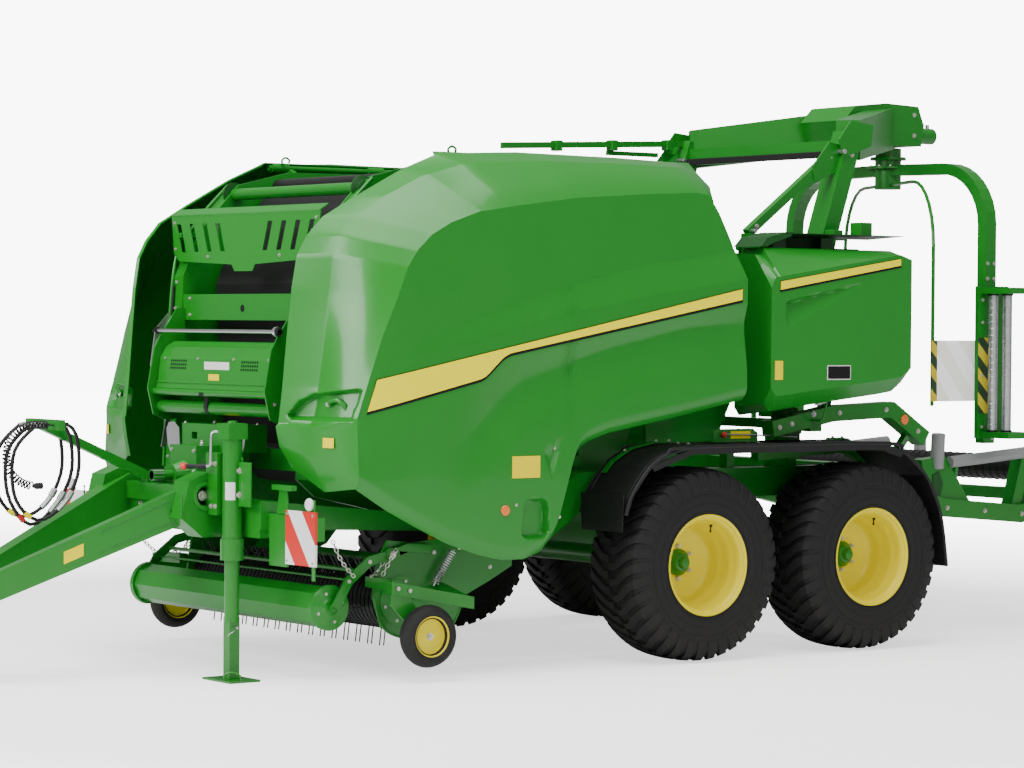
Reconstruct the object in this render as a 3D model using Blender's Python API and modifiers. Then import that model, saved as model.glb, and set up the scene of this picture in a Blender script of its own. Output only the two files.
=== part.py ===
"""Round baler with a built-in bale wrapper, towed, standing parked on its jack.

Metres, +Z up, front of the machine at -Y, its left side at +X. Stations along
the machine are measured from the front axle, and the finished parts are then
moved by AXLE_Y so that the whole machine is centred on the origin.
"""

import math

import bmesh
import bpy
from mathutils import Matrix, Vector

# Driving dimensions
AXLE_Y = 0.35            # front axle, from the middle of the machine
TANDEM = 1.335           # spacing of the two axles
TYRE_R = 0.585           # tyre radius, and height of both axles
TYRE_W = 0.47            # tyre section width
WHEEL_STEPS = 24         # facets round a wheel
TYRE_X = 1.250           # middle of the tyre from the machine's middle
STUB_X = 1.130           # end of an axle stub, inside its hub
STUB_R = 0.0592          # radius of an axle stub
STUB_PLAY = 0.0008       # room round it in the hub
RIM_SEAT = 0.2850        # radius on the rim where the tyre sits
WALL_X = 0.68            # inner face of a bale chamber wall
WALL_T = 0.02            # thickness of a bale chamber wall
DOOR_T = 0.012           # thickness of a side door
DOOR_X = 1.43            # outer face of a side door
HINGE_X = 0.93           # side door hinge axis
HINGE_Z = 2.9877
REEL_Y = -1.93           # pickup reel axis
REEL_Z = 0.43
LIFT_Y = -1.22           # pickup lift axis
LIFT_Z = 0.66
GUARD_Y = -2.40          # wind guard roller axis
GUARD_Z = 0.41
GUARD_PIN_Y = -2.02      # wind guard arm pivot
GUARD_PIN_Z = 0.70
GAUGE_Y = -1.983         # gauge wheel axis
GAUGE_Z = 0.259
GAUGE_R = 0.178
ROTOR_Y = 2.83           # wrapping rotor axis
LEG_X = 0.955            # middle of a rotor leg
TABLE_Y = 2.24           # wrapping table tilt axis
TABLE_Z = 0.90
JACK_X = 0.72            # parking jack axis
JACK_Y = -2.865
GAP = 0.0003             # gap where parts rest on each other
RUN = 0.0005             # gap beside a turning part

GREEN = (0.022, 0.235, 0.022)
LIGHT_GREEN = (0.06, 0.30, 0.06)
DARK_GREEN = (0.010, 0.110, 0.012)
YELLOW = (0.80, 0.68, 0.02)
BLACK = (0.02, 0.02, 0.02)
RUBBER = (0.035, 0.035, 0.035)
STEEL = (0.45, 0.45, 0.45)
WHITE = (0.85, 0.85, 0.83)
RED = (0.60, 0.02, 0.02)

YZ = Matrix(((0, 0, 1, 0), (1, 0, 0, 0), (0, 1, 0, 0), (0, 0, 0, 1)))
XZ = Matrix(((1, 0, 0, 0), (0, 0, -1, 0), (0, 1, 0, 0), (0, 0, 0, 1)))
XY = Matrix.Identity(4)


def start():
    for item in list(bpy.data.objects):
        bpy.data.objects.remove(item, do_unlink=True)
    parts = bpy.data.collections.new("round_baler")
    bpy.context.scene.collection.children.link(parts)
    cutters = bpy.data.collections.new("cutters")
    bpy.context.scene.collection.children.link(cutters)
    return parts, cutters


PARTS, CUTTERS = start()


def solid(mesh):
    item = bpy.data.objects.new("piece", mesh)
    CUTTERS.objects.link(item)
    item.hide_render = True
    item.display_type = "WIRE"
    return item


def from_bmesh(bm):
    bmesh.ops.recalc_face_normals(bm, faces=bm.faces)
    mesh = bpy.data.meshes.new("piece")
    bm.to_mesh(mesh)
    bm.free()
    return solid(mesh)


def box(x0, x1, y0, y1, z0, z1):
    bm = bmesh.new()
    bmesh.ops.create_cube(bm, size=1)
    bmesh.ops.scale(bm, vec=(x1 - x0, y1 - y0, z1 - z0), verts=bm.verts)
    middle = ((x0 + x1) / 2, (y0 + y1) / 2, (z0 + z1) / 2)
    bmesh.ops.translate(bm, vec=middle, verts=bm.verts)
    return from_bmesh(bm)


def rod(a, b, radius, sides=16, radius_b=None):
    a, b = Vector(a), Vector(b)
    along = b - a
    bm = bmesh.new()
    end = radius if radius_b is None else radius_b
    bmesh.ops.create_cone(bm, cap_ends=True, segments=sides, radius1=radius,
                          radius2=end, depth=along.length)
    turn = along.to_track_quat("Z", "Y").to_matrix().to_4x4()
    bmesh.ops.transform(bm, matrix=Matrix.Translation((a + b) / 2) @ turn, verts=bm.verts)
    return from_bmesh(bm)


def beam(a, b, width, height, width_b=None, height_b=None):
    """A straight bar from a to b, its height staying upright."""
    a, b = Vector(a), Vector(b)
    side = (b - a).cross(Vector((0, 0, 1))).normalized()
    rise = Vector((0, 0, 1))
    ends = ((a, width, height), (b, width_b or width, height_b or height))
    rings = []
    for point, w, h in ends:
        rings.append([point + side * (w / 2 * i) + rise * (h / 2 * j)
                      for i, j in ((-1, -1), (1, -1), (1, 1), (-1, 1))])
    return loft(rings)


def loft(rings):
    """A closed solid through rings that have the same number of points."""
    bm = bmesh.new()
    rows = [[bm.verts.new(p) for p in ring] for ring in rings]
    count = len(rows[0])
    for lower, upper in zip(rows, rows[1:]):
        for i in range(count):
            j = (i + 1) % count
            bm.faces.new((lower[i], lower[j], upper[j], upper[i]))
    bm.faces.new(rows[0])
    bm.faces.new(rows[-1])
    return from_bmesh(bm)


def mesh_of(curve_object):
    bpy.context.view_layer.update()
    graph = bpy.context.evaluated_depsgraph_get()
    mesh = bpy.data.meshes.new_from_object(curve_object.evaluated_get(graph))
    curve = curve_object.data
    bpy.data.objects.remove(curve_object, do_unlink=True)
    bpy.data.curves.remove(curve)
    bm = bmesh.new()
    bm.from_mesh(mesh)
    bpy.data.meshes.remove(mesh)
    bmesh.ops.remove_doubles(bm, verts=bm.verts, dist=0.00001)
    return bm


def slab(outline, plane, low, high, holes=()):
    """A flat outline in the YZ, XZ or XY plane, given thickness across it."""
    curve = bpy.data.curves.new("outline", "CURVE")
    curve.dimensions = "2D"
    curve.fill_mode = "BOTH"
    curve.extrude = abs(high - low) / 2
    for ring in (outline, *holes):
        spline = curve.splines.new("POLY")
        spline.points.add(len(ring) - 1)
        for point, (p, q) in zip(spline.points, ring):
            point.co = (p, q, 0, 1)
        spline.use_cyclic_u = True
    item = bpy.data.objects.new("outline", curve)
    CUTTERS.objects.link(item)
    bm = mesh_of(item)
    middle = (low + high) / 2
    if plane is XZ:
        middle = -middle
    bmesh.ops.translate(bm, vec=(0, 0, middle), verts=bm.verts)
    bmesh.ops.transform(bm, matrix=plane, verts=bm.verts)
    return from_bmesh(bm)


def strip(path, width, closed=False):
    """Outline of a strip of the given width that follows a path."""
    points = [Vector(p) for p in path]
    count = len(points)
    left, right = [], []
    for i, point in enumerate(points):
        before = points[i - 1] if (i or closed) else None
        after = points[(i + 1) % count] if (i < count - 1 or closed) else None
        ins = (point - before).normalized() if before is not None else None
        out = (after - point).normalized() if after is not None else None
        ins = ins or out
        out = out or ins
        normal = Vector((-(ins + out).y, (ins + out).x)).normalized()
        reach = width / 2 / max(0.4, normal.dot(Vector((-ins.y, ins.x))))
        left.append(tuple(point + normal * reach))
        right.append(tuple(point - normal * reach))
    if closed:
        return left, right
    return left + right[::-1]


def band(path, width, plane, low, high):
    return slab(strip(path, width), plane, low, high)


def arc(centre, radius, start_deg, end_deg, count):
    steps = [start_deg + (end_deg - start_deg) * i / (count - 1) for i in range(count)]
    return [(centre[0] + radius * math.cos(math.radians(a)),
             centre[1] + radius * math.sin(math.radians(a))) for a in steps]


def tube(path, radius, sides=2):
    """A round bar along a path in space."""
    curve = bpy.data.curves.new("run", "CURVE")
    curve.dimensions = "3D"
    curve.bevel_depth = radius
    curve.bevel_resolution = sides
    curve.use_fill_caps = True
    spline = curve.splines.new("POLY")
    spline.points.add(len(path) - 1)
    for point, place in zip(spline.points, path):
        point.co = (*place, 1)
    item = bpy.data.objects.new("run", curve)
    CUTTERS.objects.link(item)
    return from_bmesh(mesh_of(item))


def turned(profile, centre, steps):
    """A profile of (radius, offset) pairs turned about a line along X."""
    mesh = bpy.data.meshes.new("profile")
    verts = [(r, 0, z) for r, z in profile]
    mesh.from_pydata(verts, [(i, i + 1) for i in range(len(verts) - 1)], [])
    item = solid(mesh)
    screw = item.modifiers.new("turn", "SCREW")
    screw.steps = steps
    screw.render_steps = steps
    screw.use_merge_vertices = True
    screw.merge_threshold = 0.0001
    bm = mesh_of_modified(item)
    lay = Matrix.Rotation(math.radians(90), 4, "Y")
    bmesh.ops.transform(bm, matrix=Matrix.Translation(centre) @ lay, verts=bm.verts)
    bmesh.ops.remove_doubles(bm, verts=bm.verts, dist=0.00001)
    return from_bmesh(bm)


def mesh_of_modified(item):
    bpy.context.view_layer.update()
    graph = bpy.context.evaluated_depsgraph_get()
    mesh = bpy.data.meshes.new_from_object(item.evaluated_get(graph))
    old = item.data
    bpy.data.objects.remove(item, do_unlink=True)
    bpy.data.meshes.remove(old)
    bm = bmesh.new()
    bm.from_mesh(mesh)
    bpy.data.meshes.remove(mesh)
    return bm


def combine(base, others, operation):
    for other in others:
        step = base.modifiers.new("step", "BOOLEAN")
        step.operation = operation
        step.solver = "EXACT"
        step.object = other
    bm = mesh_of_modified(base)
    for other in others:
        old = other.data
        bpy.data.objects.remove(other, do_unlink=True)
        bpy.data.meshes.remove(old)
    bmesh.ops.remove_doubles(bm, verts=bm.verts, dist=0.00002)
    bmesh.ops.dissolve_degenerate(bm, dist=0.00001, edges=bm.edges)
    return from_bmesh(bm)


def join(base, *others):
    return combine(base, others, "UNION")


def cut(base, *others):
    return combine(base, others, "DIFFERENCE")


def mirrored(item):
    """The same piece on the machine's other side."""
    bm = bmesh.new()
    bm.from_mesh(item.data)
    bmesh.ops.scale(bm, vec=(-1, 1, 1), verts=bm.verts)
    bmesh.ops.reverse_faces(bm, faces=bm.faces)
    return from_bmesh(bm)


def turned_half(item):
    """The same piece on the other side of the wrapping rotor's axis."""
    bm = bmesh.new()
    bm.from_mesh(item.data)
    half = Matrix.Translation((0, ROTOR_Y, 0)) @ Matrix.Rotation(math.pi, 4, "Z")
    bmesh.ops.transform(bm, matrix=half @ Matrix.Translation((0, -ROTOR_Y, 0)), verts=bm.verts)
    return from_bmesh(bm)


def both(make, *sizes):
    return make(*sizes), mirrored(make(*sizes))


def paint(name, colour, metallic=0.0, roughness=0.4):
    material = bpy.data.materials.new(name + "_paint")
    material.use_nodes = True
    shader = material.node_tree.nodes["Principled BSDF"]
    shader.inputs["Base Color"].default_value = (*colour, 1)
    shader.inputs["Metallic"].default_value = metallic
    shader.inputs["Roughness"].default_value = roughness
    material.diffuse_color = (*colour, 1)
    return material


def finish(item, name, colour, axis=(0, 0, 0), metallic=0.0, roughness=0.4):
    """Name the part and put its origin on its axis."""
    item.name = name
    item.data.name = name
    item.hide_render = False
    item.display_type = "TEXTURED"
    CUTTERS.objects.unlink(item)
    PARTS.objects.link(item)
    item.data.materials.clear()
    item.data.materials.append(paint(name, colour, metallic, roughness))
    item.data.transform(Matrix.Translation(-Vector(axis)))
    item.location = Vector(axis) + Vector((0, AXLE_Y, 0))
    return item


# Frame and running gear

def chassis():
    side = [(-2.80, 0.86), (-1.75, 0.82), (-1.10, 0.80), (-0.98, 0.74), (-0.80, 0.72),
            (-0.45, 0.95), (2.05, 0.95),
            (2.05, 1.13), (-0.55, 1.13), (-0.88, 0.92), (-1.75, 0.92), (-2.80, 1.02)]
    rails = both(slab, side, YZ, 0.80, 0.92)
    pieces = [
        box(-0.91, 0.91, -2.80, -2.62, 0.81, 1.01),
        box(-0.91, 0.91, -1.04, -0.90, 0.74, 0.90),
        box(-0.91, 0.91, 0.16, 0.30, 0.96, 1.12),
        box(-0.91, 0.91, 1.90, 2.04, 0.96, 1.12),
    ]
    pivot = slab([(0.50, 0.6603), (0.83, 0.6603), (0.76, 1.0), (0.57, 1.0)], YZ, 0.81, 0.91)
    pieces += [pivot, mirrored(pivot)]
    for y in (0.10, 0.66):
        pieces += both(box, 0.84, 1.22, y - 0.03, y + 0.03, 1.235, 1.2837)
        pieces += both(box, 0.83, 0.90, y - 0.03, y + 0.03, 1.10, 1.28)
    lug = slab([(2.02, 0.98), (2.02, 1.10), (2.22, 0.97), (2.30, 0.90), (2.27, 0.83),
                (2.20, 0.82)], YZ, 0.60, 0.64, holes=[arc((TABLE_Y, TABLE_Z), 0.0308, 0, 348.75, 32)])
    pieces += [lug, mirrored(lug)]
    hanger = slab([(-1.06, 0.80), (-1.06, 0.70), (-1.14, 0.61), (-1.22, 0.58), (-1.31, 0.64),
                   (-1.28, 0.74), (-1.0, 0.88)], YZ, 0.94, 0.97,
                  holes=[arc((LIFT_Y, LIFT_Z), 0.0306, 0, 348.75, 32)])
    hanger = join(hanger, box(0.88, 0.96, -1.03, -0.91, 0.76, 0.86))
    pieces += [hanger, mirrored(hanger)]
    pieces += both(box, 0.85, 1.42, -2.7497, -2.70, 0.82, 0.95)
    pieces += both(box, 0.93, 1.11, -2.7497, -2.735, 0.66, 0.90)
    return join(rails[0], rails[1], *pieces)


def bogie():
    base = box(0.81, 0.91, -0.14, TANDEM + 0.14, 0.51, 0.66)
    pieces = [mirrored(box(0.81, 0.91, -0.14, TANDEM + 0.14, 0.51, 0.66))]
    for y in (0, TANDEM):
        pieces.append(rod((-STUB_X, y, TYRE_R), (STUB_X, y, TYRE_R), STUB_R, 32))
    return join(base, *pieces)


def tyre():
    half = TYRE_W / 2
    r = TYRE_R
    outer = [(0.300, -half + 0.02), (0.40, -half), (0.50, -half + 0.012),
             (0.562, -half + 0.050), (r, -0.10), (r, 0.10), (0.562, half - 0.050),
             (0.50, half - 0.012), (0.40, half), (0.300, half - 0.02)]
    seat = RIM_SEAT + GAP
    inner = [(seat, half - 0.020), (seat, -half + 0.020)]
    ring = outer + inner + [outer[0]]
    return turned(ring[::-1], (0, 0, 0), WHEEL_STEPS)


def rim():
    edge = TYRE_W / 2 - 0.0205
    well = RIM_SEAT - 0.053
    profile = [(0.0, -0.215), (0.0875, -0.215), (0.0875, -0.105), (well, -0.095),
               (well + 0.016, -edge + 0.0295), (RIM_SEAT, -edge), (RIM_SEAT, edge),
               (well + 0.030, edge - 0.0095), (well + 0.016, 0.100), (well, -0.060),
               (0.100, -0.070), (0.070, -0.060), (0.066, -0.012), (0.034, -0.010),
               (0.030, 0.008), (0.0, 0.010)]
    depth = STUB_X - TYRE_X + 0.005
    bore = rod((-0.30, 0, 0), (depth, 0, 0), STUB_R + STUB_PLAY, 32)
    return cut(turned(profile[::-1], (0, 0, 0), WHEEL_STEPS), bore)


def gauge_wheel():
    profile = [(0.0, -0.030), (0.085, -0.025), (0.095, -0.050), (0.125, -0.062),
               (0.160, -0.045), (GAUGE_R, 0.0), (0.160, 0.045), (0.125, 0.062),
               (0.095, 0.050), (0.085, 0.025), (0.0, 0.030)]
    return turned(profile[::-1], (0, 0, 0), 20)


def placed(item, x, y, z):
    item.data.transform(Matrix.Translation((x, y, z)))
    return item


def fender():
    path = [(-0.62, 0.90), (-0.575, 1.02), (-0.44, 1.18), (-0.30, 1.255), (-0.12, 1.29),
            (1.42, 1.29), (1.60, 1.235), (1.80, 1.08), (1.93, 0.84), (1.99, 0.50)]
    skirt = [(-0.44, 1.185), (-0.12, 1.285), (1.42, 1.285), (1.60, 1.23), (1.58, 1.20),
             (1.41, 1.25), (-0.12, 1.25), (-0.41, 1.155)]
    return join(band(path, 0.012, YZ, 1.02, 1.47), slab(skirt, YZ, 1.458, 1.469))


# Drawbar and jack

def drawbar():
    beams = both(beam, (0.43, -2.90, 1.02), (0.065, -4.36, 0.41), 0.10, 0.21, 0.085, 0.15)
    head = slab([(-0.13, -4.22), (-0.13, -4.42), (-0.075, -4.60), (0.075, -4.60), (0.13, -4.42),
                 (0.13, -4.22)], XY, 0.36, 0.44, holes=[arc((0, -4.52), 0.030, 0, 345, 24)])
    cheek = slab([(-3.10, 0.91), (-2.96, 0.80), (-2.8003, 0.80), (-2.8003, 1.14), (-2.92, 1.17),
                  (-3.05, 1.12)], YZ, 0.40, 0.56, holes=[arc((-2.947, 1.035), 0.055, 0, 345, 24)])
    plate = box(-0.50, 0.50, -2.90, -2.8003, 0.84, 1.00)
    mount = box(0.54, JACK_X - 0.056 - GAP, -2.93, -2.8003, 0.93, 1.28)
    foot = box(-0.45, 0.45, -2.93, -2.86, 0.98, 1.08)
    return join(*beams, head, cheek, mirrored(cheek), plate, mount, foot)


def hose_holder():
    post = box(-0.21, -0.14, -2.92, -2.87, 1.0803, 1.14)
    arm = band([(-2.88, 1.11), (-3.61, 1.43)], 0.05, YZ, -0.20, -0.15)
    rack = box(-0.28, 0.12, -3.64, -3.60, 1.40, 1.46)
    return join(post, arm, rack)


def jack_column():
    body = rod((JACK_X, JACK_Y, 0.69), (JACK_X, JACK_Y, 1.43), 0.056, 24)
    collar = rod((JACK_X, JACK_Y, 0.68), (JACK_X, JACK_Y, 0.80), 0.066, 24)
    cap = box(JACK_X - 0.062, JACK_X + 0.062, JACK_Y - 0.062, JACK_Y + 0.062, 1.36, 1.45)
    guide = rod((JACK_X, JACK_Y, 0.60), (JACK_X, JACK_Y, 0.75), 0.0425, 24)
    bore = rod((JACK_X, JACK_Y, 0.74), (JACK_X, JACK_Y, 1.35), 0.048, 24)
    return cut(join(body, collar, cap), guide, bore)


def jack_leg():
    sleeve = rod((JACK_X, JACK_Y, 0.33), (JACK_X, JACK_Y, 0.90), 0.042, 24)
    leg = box(JACK_X - 0.033, JACK_X + 0.033, JACK_Y - 0.033, JACK_Y + 0.033, 0.005, 0.36)
    foot = slab([(JACK_X - 0.15, JACK_Y - 0.10), (JACK_X + 0.15, JACK_Y - 0.10),
                 (JACK_X + 0.15, JACK_Y + 0.10), (JACK_X - 0.15, JACK_Y + 0.10)], XY, 0, 0.012)
    return join(sleeve, leg, foot)


def gearbox():
    hood = box(-0.28, 0.28, -2.60, -2.36, 1.26, 1.42)
    window = box(-0.17, -0.11, -2.61, -2.55, 1.33, 1.37)
    house = box(-0.15, 0.15, -2.76, -2.40, 1.0103, 1.30)
    shaft = rod((0, -2.74, 1.13), (0, -2.97, 1.13), 0.030, 16)
    guard = rod((0, -2.74, 1.13), (0, -2.84, 1.13), 0.095, 20, 0.06)
    return join(cut(hood, window), house, guard, shaft)


# Bale chamber

def chamber():
    wall = [(-2.42, 1.12), (-2.36, 2.30), (-2.22, 2.60), (-1.97, 2.86), (-1.60, 2.95),
            (-0.20, 2.96), (-0.02, 2.80), (0.10, 2.20), (0.08, 1.50), (-0.10, 1.1303),
            (-0.45, 1.1303), (-0.80, 0.98), (-0.8997, 0.9003), (-1.9, 0.93), (-2.30, 1.02)]
    front = [(-2.41, 1.12), (-2.35, 2.29), (-2.21, 2.59), (-1.965, 2.845)]
    pieces = list(both(slab, wall, YZ, WALL_X, WALL_X + WALL_T))
    pieces += both(band, front, 0.02, YZ, WALL_X + 0.01, 0.80)
    pieces.append(box(-0.69, 0.69, -2.36, -2.33, 2.03, 2.185))
    pieces.append(box(-0.69, 0.69, -2.33, -2.24, 1.16, 1.28))
    pieces.append(rod((-0.69, -1.99, 2.80), (0.69, -1.99, 2.80), 0.036, 20))
    pieces.append(rod((-0.69, -0.14, 2.90), (0.69, -0.14, 2.90), 0.025, 32))
    pieces += both(rod, (HINGE_X, -1.60, HINGE_Z), (HINGE_X, 0.03, HINGE_Z), 0.020, 16)
    for y in (-1.45, -0.75, -0.10):
        pieces += both(beam, (0.69, y, 2.88), (HINGE_X, y, 2.975), 0.03, 0.03)
    pieces += both(box, 0.72, 0.78, -2.3497, -2.22, 2.53, 2.56)
    pieces += both(box, 0.72, 0.78, -2.3497, -2.20, 2.40, 2.42)
    for y in (-0.99, -0.50):
        foot = 0.90 if y < -0.9 else 1.13
        pieces += both(box, 0.69, 0.79, y - 0.05, y + 0.05, foot + 0.0303, foot + 0.09)
    return join(pieces[0], *pieces[1:])


def belts():
    path = [(-2.10, 1.30), (-2.16, 2.25), (-2.02, 2.58), (-1.80, 2.80), (-0.45, 2.80),
            (-0.22, 2.60), (-0.20, 1.55), (-0.55, 1.12), (-1.25, 0.99), (-1.85, 1.06)]
    outer, inner = strip(path, 0.006, closed=True)
    return slab(outer, YZ, -0.62, 0.62, holes=[inner])


def roller(y, z, radius):
    return rod((-WALL_X + RUN, y, z), (WALL_X - RUN, y, z), radius, 20)


def grille():
    sheet = slab([(-0.83, 2.66), (0.83, 2.66), (0.80, 2.43), (0.74, 2.385), (0.13, 2.36),
                  (0.10, 2.32), (-0.10, 2.32), (-0.13, 2.36), (-0.74, 2.385), (-0.80, 2.43)],
                 XZ, -2.356, -2.350)
    lip = band([(-2.353, 2.64), (-2.353, 2.665), (-2.30, 2.70)], 0.006, YZ, -0.83, 0.83)
    slots = []
    for i in range(4):
        x = 0.24 + 0.15 * i
        slots.append(slab([(x - 0.03, 2.44), (x + 0.02, 2.44), (x + 0.08, 2.61), (x + 0.03, 2.61)],
                          XZ, -2.37, -2.34))
    slots += [mirrored(s) for s in slots]
    return cut(join(sheet, lip), *slots)


def net_tray():
    side = [(-2.3603, 1.45), (-2.3603, 2.10), (-2.42, 2.10), (-2.53, 1.94), (-2.575, 1.86),
            (-2.62, 1.62), (-2.58, 1.46), (-2.48, 1.42)]
    pieces = list(both(slab, side, YZ, 0.652, 0.664))
    pieces.append(rod((-0.66, -2.57, 1.60), (0.66, -2.57, 1.60), 0.020, 16))
    pieces.append(rod((-0.66, -2.52, 1.51), (0.66, -2.52, 1.51), 0.038, 20))
    pieces.append(rod((-0.66, -2.42, 1.60), (0.66, -2.42, 1.60), 0.030, 16))
    return join(pieces[0], *pieces[1:])


def net_cover():
    path = [(-2.440, 1.900), (-2.500, 1.868), (-2.538, 1.800), (-2.548, 1.720),
            (-2.552, 1.670), (-2.568, 1.6208)]
    handle = rod((-0.644, -2.560, 1.658), (0.644, -2.560, 1.658), 0.006, 10)
    return join(band(path, 0.004, YZ, -0.645, 0.645), handle)


def net_lever():
    bar = rod((-0.70, -2.545, 1.965), (0.70, -2.545, 1.965), 0.011, 14)
    path = [(-2.46, 2.06), (-2.545, 1.965), (-2.575, 1.76), (-2.52, 1.60), (-2.47, 1.42),
            (-2.50, 1.26)]
    near = slab(strip(path, 0.035), YZ, -0.675, -0.6643)
    pad = slab(arc((-2.545, 1.965), 0.03, 0, 330, 12), YZ, 0.6643, 0.69)
    return join(bar, near, pad)


# Side doors

DOOR_COLUMNS = [
    # station, outward reach, bottom, top, reach at the top edge
    (-2.640, 0.890, 1.300, 2.560, 0.905),
    (-2.560, 1.060, 1.190, 2.620, 0.920),
    (-2.430, 1.260, 1.080, 2.700, 0.930),
    (-2.270, 1.385, 0.975, 2.775, 0.935),
    (-2.080, 1.420, 0.880, 2.860, 0.940),
    (-1.850, DOOR_X, 0.775, 2.950, 0.950),
    (-1.620, DOOR_X, 0.685, 3.020, 0.970),
    (-1.400, DOOR_X, 0.655, 3.020, 0.985),
    (-1.180, DOOR_X, 0.700, 3.020, 0.990),
    (-1.030, DOOR_X, 0.800, 3.020, 0.990),
    (-0.955, DOOR_X, 1.060, 3.020, 0.990),
    (-0.880, DOOR_X, 1.300, 3.020, 0.990),
    (-0.700, DOOR_X, 1.380, 3.020, 0.990),
    (-0.250, 1.425, 1.455, 3.020, 0.990),
    (0.050, 1.420, 1.520, 3.020, 0.990),
    (0.290, 1.400, 1.575, 2.990, 0.995),
]


def door_section(station, reach, bottom, top, top_reach):
    """Points of the door's outer face from its lower edge to its upper edge."""
    shoulder = min(top - 0.06, 2.62 + 0.02 * max(0, station + 2))
    points = []
    for t in (0, 0.1, 0.25, 0.4, 0.55, 0.7, 0.85, 1):
        z = bottom + (shoulder - bottom) * t
        lean = 0.02 * max(0, (1.5 - z) / 0.9)
        points.append((reach - lean, station, z))
    for t in (0.18, 0.45, 0.75, 1):
        bulge = 0.05 * math.sin(math.pi * t)
        x = reach + (top_reach - reach) * t ** 1.5
        points.append((x, station, shoulder + (top - shoulder) * t + bulge * (top - shoulder)))
    return points


def side_door():
    """A curved panel wrapped round the front corner, with a lip over its hinge."""
    bm = bmesh.new()
    rows = []
    for column in DOOR_COLUMNS:
        points = door_section(*column)
        if column[3] > 3.0:
            points.append((0.915, column[0], column[3]))
        else:
            points.append((points[-1][0] - 0.02, column[0], column[3] + 0.002))
        rows.append([bm.verts.new(p) for p in points])
    for a, b in zip(rows, rows[1:]):
        for i in range(len(a) - 1):
            bm.faces.new((a[i], b[i], b[i + 1], a[i + 1]))
    mesh = bpy.data.meshes.new("panel")
    bm.to_mesh(mesh)
    bm.free()
    item = solid(mesh)
    wall = item.modifiers.new("wall", "SOLIDIFY")
    wall.thickness = DOOR_T
    wall.offset = -1
    wall.use_even_offset = False
    return from_bmesh(mesh_of_modified(item))


def tailgate():
    outer = [(-0.06, 2.94), (0.30, 2.92), (0.62, 2.72), (0.84, 2.35), (0.90, 1.95), (0.86, 1.60),
             (0.70, 1.28), (0.48, 1.17), (0.15, 1.17), (0.13, 1.50), (0.15, 2.20), (0.03, 2.82)]
    inner = [(-0.20, 2.90), (0.29, 2.896), (0.605, 2.70), (0.818, 2.34), (0.876, 1.95),
             (0.838, 1.61), (0.69, 1.30), (0.475, 1.196), (-0.20, 1.196)]
    shell = cut(slab(outer, YZ, -0.70, 0.70), slab(inner, YZ, -0.676, 0.676))
    ear = slab([(-0.20, 2.962), (-0.20, 2.926), (-0.14, 2.91), (0.0, 2.92), (0.06, 2.939),
                (-0.02, 2.965)], YZ, 0.60, 0.66)
    pin = rod((0.5, -0.14, 2.90), (0.8, -0.14, 2.90), 0.0258, 32)
    ear = cut(ear, pin)
    return join(shell, ear, mirrored(ear))


# Pickup

def pickup_frame():
    shield = [(-2.12, 0.46), (-2.06, 0.28), (-1.90, 0.21), (-1.74, 0.22), (-1.57, 0.26),
              (-1.48, 0.44), (-1.30, 0.52), (-1.14, 0.60), (-1.14, 0.70), (-1.24, 0.74), (-1.60, 0.78),
              (-1.85, 0.76), (-2.02, 0.78), (-2.09, 0.66)]
    pieces = list(both(slab, shield, YZ, 1.02, 1.04))
    pieces += both(rod, (0.9705, LIFT_Y, LIFT_Z), (1.03, LIFT_Y, LIFT_Z), 0.045, 16)
    pieces += both(rod, (0.92, LIFT_Y, LIFT_Z), (1.0, LIFT_Y, LIFT_Z), 0.0298, 32)
    pieces.append(rod((-1.03, -1.58, 0.60), (1.03, -1.58, 0.60), 0.045, 16))
    pieces.append(box(-1.03, 1.03, -1.64, -1.60, 0.28, 0.36))
    pieces += both(beam, (1.03, -2.14, 0.55), (1.30, -2.14, 0.545), 0.06, 0.06)
    pieces += both(beam, (1.03, -1.66, 0.50), (1.30, -1.66, 0.44), 0.05, 0.05)
    pieces += both(beam, (1.30, -2.19, 0.535), (1.30, -1.62, 0.425), 0.06, 0.07)
    fork = [(-2.19, 0.55), (-2.10, 0.55), (-2.02, 0.42), (-1.955, 0.27), (-1.97, 0.235),
            (-2.0, 0.235), (-2.09, 0.34), (-2.19, 0.44)]
    pieces += both(slab, fork, YZ, 1.305, 1.3195)
    pieces += both(rod, (1.31, GAUGE_Y, GAUGE_Z), (1.3595, GAUGE_Y, GAUGE_Z), 0.022, 14)
    pieces += both(slab, arc((GUARD_PIN_Y, GUARD_PIN_Z), 0.035, 0, 330, 12), YZ, 1.035, 1.062)
    return join(pieces[0], *pieces[1:])


BAND_PITCH = 0.125
BAND_COUNT = 16


def stripper_bands():
    turn = arc((REEL_Y, REEL_Z), 0.165, 60, 290, 8)
    path = [(-1.64, 0.57)] + turn + [(-1.65, 0.31)]
    pieces = []
    for i in range(BAND_COUNT):
        x = (i - (BAND_COUNT - 1) / 2) * BAND_PITCH
        pieces.append(band(path, 0.004, YZ, x - 0.050, x + 0.050))
    back = box(-0.975, 0.975, -1.66, -1.6253, 0.545, 0.60)
    lower = box(-0.975, 0.975, -1.665, -1.6403, 0.285, 0.33)
    return join(back, lower, *pieces)


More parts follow.
